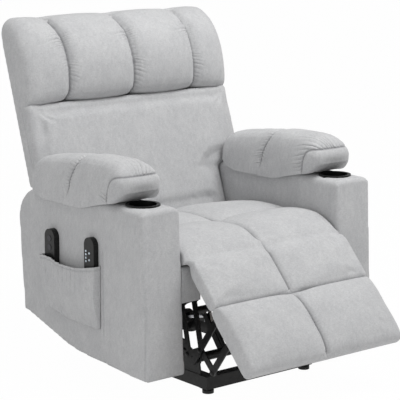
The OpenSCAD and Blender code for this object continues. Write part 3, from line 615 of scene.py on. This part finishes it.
cup_plastic = moulded_plastic("cup_plastic", (0.004, 0.004, 0.004), 0.36, 500)
dress(cup_plastic, "cup_holder_right", "cup_holder_left")

# ---------------------------------------------------------------------------------------------
# Arm pillows: loose-filled cushions sewn along the arm tops. A gathered seam closes the front
# end's cap, and a second one draws the pillow in behind its middle.

ARM_MIDDLE = 0.388
PILLOW_TAIL = 0.19
PILLOW_END = 0.304
CAP_ROUND = 0.020
CAP_BACK = 0.175
CAP_TOP = 0.684
SADDLE_BACK = 0.362
SADDLE_DROOP = 0.026
SEWN_DOWN = 0.606
TAIL_CURVE = 1.9
TAIL_LEAN = 0.32
FRONT_PUSH = (0, -0.010, 0.006)
CAP_FULLNESS = 0.0055


def cap_distance(co):
    """Distance outside the seam, which runs up the side and round over the front end."""
    back = (co[:, 1] - ARM_FRONT - CAP_BACK) / CAP_ROUND
    above = (co[:, 2] - CAP_TOP) / CAP_ROUND
    return CAP_ROUND * np.logaddexp(back, above)


def saddle_distance(co):
    """Distance behind the seam across the pillow's middle, which droops back at its sides."""
    droop = SADDLE_DROOP * soft_step(0.72 - co[:, 2], 0, 0.10)
    return co[:, 1] - ARM_FRONT - SADDLE_BACK - droop


def pillow_held(co):
    under = soft_step(SEWN_DOWN - co[:, 2], 0, 0.02)
    seams = np.maximum(line_held(saddle_distance(co)), line_held(cap_distance(co)))
    return np.maximum(under, seams)


for seed, side in ((11, "right"), (12, "left")):
    pillow = upholstered(f"arm_pillow_{side}", [f"arm_pad_{side}"], voxel=0.0055, rounds=5,
                         pressure=4.0, cap=0.010, shrink=0.003, held=pillow_held)
    co = points_of(pillow.data)
    tail = soft_step(co[:, 1], PILLOW_TAIL, PILLOW_TAIL + 0.004) * (co[:, 1] - PILLOW_TAIL)
    share = np.clip(tail / (PILLOW_END - PILLOW_TAIL), 0, 1)
    lean = TAIL_LEAN * np.clip(co[:, 2] - 0.61, 0, 1) * share
    co[:, 1] += (PILLOW_END - PILLOW_TAIL) * (1 - (1 - share) ** TAIL_CURVE) - tail + lean
    front = soft_step(-co[:, 1], 0.07, 0.15) * soft_step(co[:, 2], 0.62, 0.69)
    co += front[:, None] * np.array(FRONT_PUSH)
    full_cap = CAP_FULLNESS * np.exp(-((cap_distance(co) + 0.020) / 0.018) ** 2)
    co += normals_of(pillow.data) * (full_cap * soft_step(-co[:, 1], 0.04, 0.10))[:, None]
    put_points(pillow.data, co)
    upper = co[:, 2] > 0.59
    refined(pillow, upper & ((np.abs(cap_distance(co) - 0.015) < 0.035)
                             | (np.abs(saddle_distance(co)) < 0.022)))
    co = points_of(pillow.data)
    round_arc = np.arctan2(np.abs(co[:, 0]) - ARM_MIDDLE, co[:, 2] - 0.60) * 0.085
    upper = soft_step(co[:, 2], 0.59, 0.61)
    above = soft_step(cap_distance(co), -0.004, 0.004)
    sew(pillow, cap_distance(co), round_arc, depth=0.0016, width=0.005,
        gather=0.0048 * (0.06 + 0.94 * above), reach=0.030, pitch=0.0120, seed=seed, where=upper)
    co = points_of(pillow.data)
    sew(pillow, saddle_distance(co), round_arc, depth=0.0050, width=0.007, gather=0.0030,
        reach=0.017, pitch=0.0095, seed=seed + 20, where=soft_step(co[:, 2], 0.575, 0.62),
        valley=0.007, spread=0.045)
    finish_cover(pillow, "chassis", f"arm_pad_{side}")

# ---------------------------------------------------------------------------------------------
# Side pockets: a pouch of the same cloth on each arm's outer side, sewn down at its ends and
# bottom. Elastic in its hem gathers the mouth, and the gathers run out half-way down.

POUCH_LENGTH = 0.284
POUCH_FOOT = 0.206
POUCH_HEIGHT = 0.194
POUCH_SAG = 0.019
POUCH_DEPTH = 0.0275
POUCH_CLOTH = 0.0022
POUCH_NEAREST = 0.0012
HEM = 0.945
GATHER_PITCH = 0.088
POUCH_COLUMNS = 220
POUCH_ROWS = 64


def pouch_stand_off(u, v, seed):
    """How far the cloth stands off the arm, u along the pocket and v up it."""
    ends = np.power(np.clip(1 - np.abs(2 * u - 1) ** 12, 0, 1), 1 / 12)
    belly = POUCH_DEPTH * ends * (0.25 + 0.75 * soft_step(v, 0, 0.5))
    wide = 0.0095 * (waves(u * 8 + 0.6 * v, seed) - 0.6) * soft_step(v, 0.1, 0.7)
    strength = np.clip(1.5 * waves(u * 5, seed + 4), 0.35, 1)
    fine = 0.0105 * strength * puckers(u + 0.03 * v, GATHER_PITCH, seed + 1)
    fine = fine * soft_step(v, 0.55 - 0.4 * waves(u * 11, seed + 5), 0.92)
    tight = 0.0022 * puckers(u, 0.031, seed + 3) * soft_step(v, 0.78, HEM)
    foot = 0.0030 * puckers(u, 0.055, seed + 2) * soft_step(0.25 - v, 0, 0.2)
    stitches = 0.0020 * np.exp(-((v - HEM) / 0.012) ** 2)
    hem = 0.0014 * soft_step(v, HEM - 0.01, HEM + 0.02) - stitches
    folds = ends * (wide + fine + tight + foot)
    return np.maximum(POUCH_NEAREST, POUCH_NEAREST + belly + folds + hem)


def pouch_grid():
    """Shares u along the pocket and v up it, one row of points for each step along."""
    return np.meshgrid(np.linspace(0, 1, POUCH_COLUMNS), np.linspace(0, 1, POUCH_ROWS),
                       indexing="ij")


def pouch_points(side, seed, back):
    """Points of the pocket's cloth: its back face, or its front one a cloth's thickness out."""
    u, v = pouch_grid()
    out = pouch_stand_off(u, v, seed)
    out = out if back else out + POUCH_CLOTH
    y = POUCH_FRONT + POUCH_LENGTH * u + 0.010 * (1 - v) * (0.5 - u)
    lift = 0.020 * soft_step(u, 0.5, 1.05) * (1 - v) - 0.009 * soft_step(u, 0.9, 1.0) * v
    z = POUCH_FOOT + lift + POUCH_HEIGHT * v - POUCH_SAG * np.sin(math.pi * u) * v
    return np.stack([side * (ARM_OUT + out), y, z], axis=2).reshape(-1, 3)


def pouch_crease_shade(seed):
    """Painted shade in the creases between the pocket's gathers and along its hem's stitches."""
    u, v = pouch_grid()
    folds = puckers(u + 0.03 * v, GATHER_PITCH, seed + 1)
    gathers = 0.7 * soft_step(-folds, 0.08, 0.42) * soft_step(v, 0.45, 0.85)
    hem = 0.5 * np.exp(-((v - HEM) / 0.010) ** 2)
    return np.maximum(gathers, hem).ravel()


def closed_shell(name, front, back, columns, rows):
    """Joins two grids of points, front and back, into one closed sheet."""
    count = columns * rows
    faces = []
    for i in range(columns - 1):
        for j in range(rows - 1):
            a = i * rows + j
            quad = (a, a + rows, a + rows + 1, a + 1)
            faces.append(quad)
            faces.append(tuple(n + count for n in reversed(quad)))
    rim = [i * rows for i in range(columns)]
    rim += [(columns - 1) * rows + j for j in range(1, rows)]
    rim += [i * rows + rows - 1 for i in reversed(range(columns - 1))]
    rim += list(reversed(range(1, rows - 1)))
    for a, b in zip(rim, rim[1:] + rim[:1]):
        faces.append((b, a, a + count, b + count))
    data = bpy.data.meshes.new(name)
    data.from_pydata(np.concatenate([front, back]).tolist(), [], faces)
    bm = bmesh.new()
    bm.from_mesh(data)
    bmesh.ops.recalc_face_normals(bm, faces=bm.faces)
    bm.to_mesh(data)
    bm.free()
    data.materials.append(grey_chenille)
    data.shade_smooth()
    return link(name, data)


for seed, side, sign in ((71, "right", -1), (83, "left", 1)):
    pouch = closed_shell(f"side_pocket_{side}", pouch_points(sign, seed, False),
                         pouch_points(sign, seed, True), POUCH_COLUMNS, POUCH_ROWS)
    # Painted shade in the pocket's fold creases and along its hem, on both sheets.
    paint_crease_shade(pouch.data, np.tile(pouch_crease_shade(seed), 2))
    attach(pouch, "chassis")
    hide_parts(f"pocket_{side}")

# ---------------------------------------------------------------------------------------------
# Handsets: moulded black shells with rubber keys.

handset_plastic = moulded_plastic("handset_plastic", (0.006, 0.006, 0.006), 0.36, 800)
dress(handset_plastic, "lift_handset", "massage_handset")
key_rubber = moulded_plastic("key_rubber", (0.05, 0.05, 0.055), 0.6, 900)
dress(key_rubber, "lift_up_button", "lift_down_button")
key_white = moulded_plastic("key_white", (0.55, 0.62, 0.68), 0.5, 900)
dress(key_white, *[f"massage_button_{i}" for i in range(1, 7)])

# ---------------------------------------------------------------------------------------------
# Seat: one long pad that runs over the front edge and down the calf to the footrest's seam. A
# seam down its middle and one across it divide it in four; the lower pad is the footrest's own.

BOARD_TOP = (-0.394, 0.303)
BOARD_TURN = math.radians(46.2)


def board_axes(co):
    """Distance down the footrest board from its upper edge, and height off its underside."""
    y = co[:, 1] - BOARD_TOP[0]
    z = co[:, 2] - BOARD_TOP[1]
    down = -(y * math.cos(BOARD_TURN) + z * math.sin(BOARD_TURN))
    off = z * math.cos(BOARD_TURN) - y * math.sin(BOARD_TURN)
    return down, off


CROSS_SEAM_BACK = 0.244
CROSS_SEAM_BOW = 0.010


def cross_seam(co):
    """Distance behind the seam across the seat, which bows forward at its middle."""
    return co[:, 1] - ARM_FRONT - CROSS_SEAM_BACK + CROSS_SEAM_BOW * np.cos(co[:, 0] * 5)


def seat_top(co):
    """1 on the seat's upper side and the calf's outer side, 0 underneath."""
    down, off = board_axes(co)
    return np.maximum(soft_step(co[:, 2], 0.44, 0.47), soft_step(off, 0.0, 0.02)
                      * soft_step(-0.20 - co[:, 1], 0, 0.05))


def seat_held(co):
    seams = np.maximum(line_held(np.abs(co[:, 0])), line_held(np.abs(cross_seam(co))))
    return np.maximum(seams * seat_top(co), 1 - seat_top(co))


SEAT_HALF = 0.3085
SEAT_REAR = 0.263
SLICES = 60
MOST_WIDENED = 0.024
SEAM_GAP = 0.0015


def full_width(co, along, half):
    """Widens a pad's sides, slice by slice along it, where softening has drawn them in."""
    place = (along - along.min()) / (along.max() - along.min()) * (SLICES - 1)
    widest = np.zeros(SLICES)
    np.maximum.at(widest, np.round(place).astype(int), np.abs(co[:, 0]))
    widest = np.convolve(np.pad(widest, 2, mode="edge"), np.full(5, 0.2), mode="valid")
    grow = np.clip(half - np.interp(place, np.arange(SLICES), widest), 0, MOST_WIDENED)
    co[:, 0] += np.sign(co[:, 0]) * grow * soft_step(np.abs(co[:, 0]), 0.2, 0.28)
    return co


seat = upholstered("seat_pad", ["seat_cushion", "calf_pad"], voxel=0.0075, rounds=5,
                   pressure=4.0, cap=0.014, shrink=0.003, held=seat_held)
co = points_of(seat.data)
down, off = board_axes(co)
on_calf = soft_step(off, -0.03, 0.0) * soft_step(-0.30 - co[:, 1], 0, 0.05)
reach = (SEAM_GAP - down.max()) * soft_step(down, down.max() - 0.05, down.max()) * on_calf
co = co + reach[:, None] * np.array([0, -math.cos(BOARD_TURN), -math.sin(BOARD_TURN)])
seat_rear = soft_step(co[:, 1], co[:, 1].max() - 0.05, co[:, 1].max())
co[:, 1] += (SEAT_REAR - co[:, 1].max()) * seat_rear
half_turn = BOARD_TURN / 2
along = -co[:, 1] * math.cos(half_turn) - co[:, 2] * math.sin(half_turn)
co = full_width(co, along, SEAT_HALF)
put_points(seat.data, co)
beside_cross = (np.abs(cross_seam(co)) < 0.016) & (co[:, 2] > 0.45)
refined(seat, (np.abs(co[:, 0]) < 0.016) | beside_cross)
co = points_of(seat.data)
run = np.hypot(co[:, 1], co[:, 2])
sew(seat, co[:, 0], run, depth=0.0060, width=0.007, gather=0.0008, reach=0.014, pitch=0.014,
    seed=31, where=seat_top(co), valley=0.011, spread=0.06)
co = points_of(seat.data)
sew(seat, cross_seam(co), co[:, 0], depth=0.0055, width=0.007, gather=0.0012, reach=0.014,
    pitch=0.015, seed=33, where=soft_step(co[:, 2], 0.46, 0.485), valley=0.009, spread=0.05)
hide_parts("seat_cushion", "calf_pad")
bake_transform(seat)

# Front panel: cloth tacked round the front rail and tucked under the cushion, slit on each side
# where the footrest's links fold in.

PANEL_HALF = 0.3153
SLIT = (0.2225, 0.2435)
SLIT_TOP = 0.326
PANEL_CLOTH = 0.003
PANEL_WAVE = 0.0006
PANEL_PATH = [(-0.2645, 0.303), (-0.2647, 0.310), (-0.2650, 0.330), (-0.2652, 0.360),
              (-0.2650, 0.385), (-0.2645, 0.400), (-0.2610, 0.4075), (-0.2520, 0.4105),
              (-0.2380, 0.4110)]


def front_panel():
    """Cloth drawn along the panel's path and across the seat, with its slits left open."""
    stations = np.linspace(-PANEL_HALF, PANEL_HALF, 161)
    for edge in SLIT:
        for sign in (-1, 1):
            stations[np.abs(stations - sign * edge).argmin()] = sign * edge
    steps = np.linspace(0, len(PANEL_PATH) - 1, 49)
    knots = np.arange(len(PANEL_PATH))
    y = np.interp(steps, knots, [point[0] for point in PANEL_PATH])
    z = np.interp(steps, knots, [point[1] for point in PANEL_PATH])
    points = [(x, y[k] - PANEL_WAVE * math.sin(x * 55) * (k < 30), z[k]) for x in stations
              for k in range(len(steps))]
    rows = len(steps)
    faces = []
    for i in range(len(stations) - 1):
        middle = abs(stations[i] + stations[i + 1]) / 2
        for k in range(rows - 1):
            if SLIT[0] < middle < SLIT[1] and z[k] < SLIT_TOP:
                continue
            a = i * rows + k
            faces.append((a, a + rows, a + rows + 1, a + 1))
    data = bpy.data.meshes.new("seat_front_panel")
    data.from_pydata(points, [], faces)
    bm = bmesh.new()
    bm.from_mesh(data)
    bmesh.ops.delete(bm, geom=[v for v in bm.verts if not v.link_faces], context="VERTS")
    bm.to_mesh(data)
    bm.free()
    piece = link("seat_front_panel", data)
    wall = piece.modifiers.new("cloth", "SOLIDIFY")
    wall.thickness = PANEL_CLOTH
    wall.offset = -1
    piece.data = evaluated(piece)
    piece.modifiers.clear()
    piece.data.materials.append(grey_chenille)
    piece.data.shade_smooth()
    return piece


finish_cover(front_panel(), "chassis", "seat_front_cover")

# Rear panel: cloth over board across the back, folded over its top edge. Flaps stand up from the
# fold, one between the hinges and one outside each, and close the gap under the back.

FLAP_DEPTH = 0.009
FLAP_TOP = 0.407
CORNER_TOP = 0.404
HINGES = (0.262, 0.2935)
LID_DEPTH = 0.010


def rear_flaps():
    """Blocks for the three flaps, and a lid over the panel's top edge that they stand on."""
    low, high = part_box("rear_cover")
    fold = high.z - LID_DEPTH
    blocks = [(-HINGES[0], HINGES[0], FLAP_DEPTH, fold, FLAP_TOP),
              (-high.x, -HINGES[1], FLAP_DEPTH, fold, CORNER_TOP),
              (HINGES[1], high.x, FLAP_DEPTH, fold, CORNER_TOP),
              (-high.x, high.x, high.y - low.y, fold, high.z)]
    bm = bmesh.new()
    for left, right, depth, foot, top in blocks:
        for vert in bmesh.ops.create_cube(bm, size=1.0)["verts"]:
            share = vert.co + Vector((0.5, 0.5, 0.5))
            vert.co = (left + (right - left) * share.x, low.y + depth * share.y,
                       foot + (top - foot) * share.z)
    data = bpy.data.meshes.new("rear_flaps")
    bm.to_mesh(data)
    bm.free()
    return data


back_panel = upholstered("rear_panel", ["rear_cover"], voxel=0.004, rounds=1, pressure=0,
                         filler=rear_flaps(), levels=0)
finish_cover(back_panel, "chassis", "rear_cover")

# ---------------------------------------------------------------------------------------------
# Back: a fabric-covered frame that carries a low, broad lumbar cushion and, above a deep crease,
# a full head cushion sewn into four channels, whose seams are gathered.

BACK_HINGE = (0.318, 0.400)
BACK_LEAN = math.radians(18)
CHANNEL = 0.258
HEAD_SEAM = 0.434
SEAM_LAP = 0.004


def back_axes(co):
    """Height up the back from its hinge, and distance behind its frame's middle."""
    y = co[:, 1] - BACK_HINGE[0]
    z = co[:, 2] - BACK_HINGE[1]
    up = y * math.sin(BACK_LEAN) + z * math.cos(BACK_LEAN)
    behind = y * math.cos(BACK_LEAN) - z * math.sin(BACK_LEAN)
    return up, behind


TO_THE_REAR = (0, math.cos(BACK_LEAN), -math.sin(BACK_LEAN))
UP_THE_BACK = (0, math.sin(BACK_LEAN), math.cos(BACK_LEAN))
LUMBAR_FOOT = 0.008
WING_FOOT = 0.158
LOW_HALF = 0.3155
SOLID_HALF = 0.306
WING_DROP = 0.028
SHELL_FORWARD = 0.012
SUNK_IN_SHELL = 0.014


def wings_lowered(co):
    """Brings the wide upper part down to the arm tops, and fills the width between the arms."""
    up, behind = back_axes(co)
    drop = WING_DROP * soft_step(up, 0.13, 0.18) * soft_step(up, 0.29, 0.21)
    low = soft_step(up, 0.192, 0.186) * np.clip((np.abs(co[:, 0]) - 0.2) / 0.106, 0, 1)
    co = co - drop[:, None] * np.array(UP_THE_BACK)
    co[:, 0] += np.sign(co[:, 0]) * low * (LOW_HALF - SOLID_HALF)
    return co


def shell_shape(co):
    """Lowers the cover's wings, and brings its front face forward into the cushions."""
    co = wings_lowered(co)
    up, behind = back_axes(co)
    forward = SHELL_FORWARD * soft_step(behind, 0.004, -0.006)
    return co - forward[:, None] * np.array(TO_THE_REAR)


shell = upholstered("back_cover", ["back_shell"], voxel=0.008, rounds=3, pressure=0,
                    reshape=shell_shape)
finish_cover(shell, "back", "back_shell")


def set_into_shell(co):
    """Sinks a cushion's rear edges into the cover behind, so that only a seam shows between."""
    up, behind = back_axes(co)
    sunk = SUNK_IN_SHELL * soft_step(behind, -0.028, -0.014) * soft_step(behind, 0.004, -0.006)
    return co + sunk[:, None] * np.array(TO_THE_REAR)


def lumbar_shape(co):
    return set_into_shell(wings_lowered(co))


def lumbar_held(co):
    up, behind = back_axes(co)
    return soft_step(behind, -0.020, -0.008)


lumbar = upholstered("lumbar_cushion", ["back_cushion"], voxel=0.0075, rounds=5, pressure=4.0,
                     cap=0.013, shrink=0.002, held=lumbar_held, reshape=lumbar_shape)
co = points_of(lumbar.data)
up, behind = back_axes(co)
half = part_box("back_cushion")[1].x
co = drawn_to(co, up, UP_THE_BACK, LUMBAR_FOOT, HEAD_SEAM + SEAM_LAP, 0.05)
co = drawn_to(co, co[:, 0], (1, 0, 0), -half, half, 0.05)
up, behind = back_axes(co)
low = soft_step(up, WING_FOOT, WING_FOOT - 0.02)
narrow = np.abs(co[up < WING_FOOT - 0.03, 0]).max()
beside = soft_step(np.abs(co[:, 0]), 0.22, narrow) * np.sign(co[:, 0])
co[:, 0] += beside * low * (LOW_HALF - narrow)
put_points(lumbar.data, co)
finish_cover(lumbar, "back", "back_cushion")


def channel_distance(co):
    """Signed distance from the nearest of the three channel seams."""
    seams = np.array([-CHANNEL, 0.0, CHANNEL])
    apart = co[:, :1] - seams
    return np.take_along_axis(apart, np.abs(apart).argmin(axis=1)[:, None], axis=1)[:, 0]


FILLER_FOOT = 0.60
FILLER_REAR = 0.0025
FILLER_RISE = 0.012
CROWN_RISE = 0.009


def top_filler():
    """The top of the back under the head cushion's rear roll, which is otherwise a thin lip."""
    bm = merged_copy("back_shell")
    place = Vector((0, *BACK_HINGE)) + FILLER_FOOT * Vector(UP_THE_BACK)
    cut = bmesh.ops.bisect_plane(bm, geom=bm.verts[:] + bm.edges[:] + bm.faces[:], plane_co=place,
                                 plane_no=Vector(UP_THE_BACK), clear_inner=True)
    edges = [e for e in cut["geom_cut"] if isinstance(e, bmesh.types.BMEdge)]
    bmesh.ops.holes_fill(bm, edges=edges)
    co = np.array([v.co for v in bm.verts])
    up, behind = back_axes(co)
    co = co + (FILLER_REAR * soft_step(behind, 0.01, 0.02))[:, None] * np.array(TO_THE_REAR)
    co = co + (FILLER_RISE * soft_step(up, 0.68, 0.70))[:, None] * np.array(UP_THE_BACK)
    for vert, place in zip(bm.verts, co):
        vert.co = place
    data = bpy.data.meshes.new("top_filler")
    bm.to_mesh(data)
    bm.free()
    return data


def head_held(co):
    up, behind = back_axes(co)
    rear = soft_step(behind, 0.006, 0.018)
    foot_seam = soft_step(HEAD_SEAM + 0.012 - up, 0, 0.01)
    return np.maximum(np.maximum(rear, foot_seam), line_held(channel_distance(co)))


headrest = upholstered("head_pillow", ["head_cushion"], voxel=0.0065, rounds=5, pressure=5.0,
                       cap=0.016, shrink=0.003, held=head_held, reshape=set_into_shell,
                       filler=top_filler())
co = points_of(headrest.data)
up, behind = back_axes(co)
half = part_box("head_cushion")[1].x
co = drawn_to(co, up, UP_THE_BACK, HEAD_SEAM - SEAM_LAP, up.max() + CROWN_RISE, 0.09)
co = drawn_to(co, co[:, 0], (1, 0, 0), -half, half, 0.05)
put_points(headrest.data, co)
refined(headrest, (np.abs(channel_distance(co) + 0.006) < 0.036) & (behind < 0.015))
co = points_of(headrest.data)
up, behind = back_axes(co)
turn = np.arctan2(up - 0.585, -(behind + 0.01)) * 0.13
apart = channel_distance(co)
high = soft_step(up, 0.52, 0.60)
fullness = np.where(apart < 0, 0.4 + 1.1 * high, 0.8 - 0.4 * high)
reach = np.where(apart < 0, 0.022 + 0.020 * high, 0.024)
sew(headrest, apart, turn, depth=0.0070, width=0.008, gather=0.0036 * fullness, reach=reach,
    pitch=0.0120, seed=41, where=1 - soft_step(behind, -0.010, 0.022), valley=0.010, spread=0.05)
finish_cover(headrest, "back", "head_cushion")

# ---------------------------------------------------------------------------------------------
# Footrest: a padded board under the same cloth, with a seam down its middle whose lower half
# is gathered by its stitches.


def foot_held(co):
    down, off = board_axes(co)
    under = 1 - soft_step(off, 0.0, 0.015)
    return np.maximum(under, line_held(np.abs(co[:, 0])) * soft_step(off, 0.01, 0.03))


FOOT_HALF = 0.3055
foot = upholstered("footrest_cushion", ["foot_pad"], voxel=0.0065, rounds=5, pressure=4.0,
                   cap=0.013, shrink=0.002, held=foot_held)
co = points_of(foot.data)
down, off = board_axes(co)
down_board = (0, -math.cos(BOARD_TURN), -math.sin(BOARD_TURN))
co = drawn_to(co, down, down_board, -SEAM_GAP, down.max(), 0.05)
co = full_width(co, down, FOOT_HALF)
put_points(foot.data, co)
down, off = board_axes(co)
refined(foot, (np.abs(co[:, 0]) < 0.02) & (off > 0.01))
co = points_of(foot.data)
down, off = board_axes(co)
lower = soft_step(down, 0.05, 0.14)
fullness = np.where(co[:, 0] < 0, 0.3 + 0.7 * lower, 0.3 + 0.2 * lower)
sew(foot, co[:, 0], down, depth=0.0060, width=0.007, gather=0.0030 * fullness, reach=0.014,
    pitch=0.0090, seed=61, where=soft_step(off, 0.005, 0.025), valley=0.009, spread=0.05)
finish_cover(foot, "footrest", "foot_pad")

# ---------------------------------------------------------------------------------------------
# Studio: a pale floor and a white surround, lit by a large soft lamp above and two weak fills.

FLOOR_HALF = 14.0
FLOOR_GLOW = 0.985
SKY_STRENGTH = 0.385
LAMP_AIM = (0, 0, 0.5)

floor_data = bpy.data.meshes.new("floor")
corners = [(x * FLOOR_HALF, y * FLOOR_HALF, 0) for x, y in ((-1, -1), (1, -1), (1, 1), (-1, 1))]
floor_data.from_pydata(corners, [], [(0, 1, 2, 3)])
floor = link("floor", floor_data)


def white_surround(tree, shader, output, share):
    """Shows white to the camera and to mirrors, and keeps some of the shaded floor."""
    path = tree.nodes.new("ShaderNodeLightPath")
    glow = tree.nodes.new("ShaderNodeEmission")
    glow.inputs["Strength"].default_value = 1.0
    seen = tree.nodes.new("ShaderNodeMath")
    seen.operation = "MAXIMUM"
    tree.links.new(path.outputs["Is Camera Ray"], seen.inputs[0])
    tree.links.new(path.outputs["Is Glossy Ray"], seen.inputs[1])
    part = tree.nodes.new("ShaderNodeMath")
    part.operation = "MULTIPLY"
    part.inputs[1].default_value = share
    tree.links.new(seen.outputs[0], part.inputs[0])
    mix = tree.nodes.new("ShaderNodeMixShader")
    tree.links.new(part.outputs[0], mix.inputs[0])
    tree.links.new(shader, mix.inputs[1])
    tree.links.new(glow.outputs[0], mix.inputs[2])
    tree.links.new(mix.outputs[0], output)


floor_mat, tree, shader, coords = new_material("pale_floor", (0.9, 0.9, 0.9), 0.9)
surface = tree.nodes["Material Output"].inputs["Surface"]
white_surround(tree, shader.outputs[0], surface, FLOOR_GLOW)
floor_data.materials.append(floor_mat)

world = bpy.data.worlds.new("studio")
scene.world = world
world.use_nodes = True
tree = world.node_tree
sky = tree.nodes["Background"]
sky.inputs["Color"].default_value = (1, 1, 1, 1)
sky.inputs["Strength"].default_value = SKY_STRENGTH
bright = tree.nodes.new("ShaderNodeBackground")
bright.inputs["Color"].default_value = (1, 1, 1, 1)
bright.inputs["Strength"].default_value = 1.0
path = tree.nodes.new("ShaderNodeLightPath")
mix = tree.nodes.new("ShaderNodeMixShader")
tree.links.new(path.outputs["Is Camera Ray"], mix.inputs[0])
tree.links.new(sky.outputs[0], mix.inputs[1])
tree.links.new(bright.outputs[0], mix.inputs[2])
tree.links.new(mix.outputs[0], tree.nodes["World Output"].inputs["Surface"])


def soft_lamp(name, place, size, watts):
    """An area lamp that is aimed at the chair's middle."""
    data = bpy.data.lights.new(name, "AREA")
    data.shape = "RECTANGLE"
    data.size, data.size_y = size
    data.energy = watts
    lamp = link(name, data)
    lamp.location = place
    aim = Vector(LAMP_AIM) - Vector(place)
    lamp.rotation_euler = aim.to_track_quat("-Z", "Y").to_euler()


soft_lamp("top_lamp", place=(0.9, -1.3, 3.5), size=(1.8, 1.6), watts=77)
soft_lamp("side_lamp", place=(-3.4, -0.6, 1.2), size=(1.6, 1.2), watts=15)
soft_lamp("rear_lamp", place=(-0.9, 0.4, 3.4), size=(1.6, 1.6), watts=13)

camera_data = bpy.data.cameras.new("camera")
camera_data.lens = 150.705
camera_data.sensor_width = 36
camera = link("camera", camera_data)
camera.location = (-3.3, -4.0224, 1.573)
aim = Vector((-0.0103, 0.0247, 0.5322)) - camera.location
camera.rotation_euler = aim.to_track_quat("-Z", "Y").to_euler()
scene.camera = camera
scene.view_settings.view_transform = "Standard"

import json
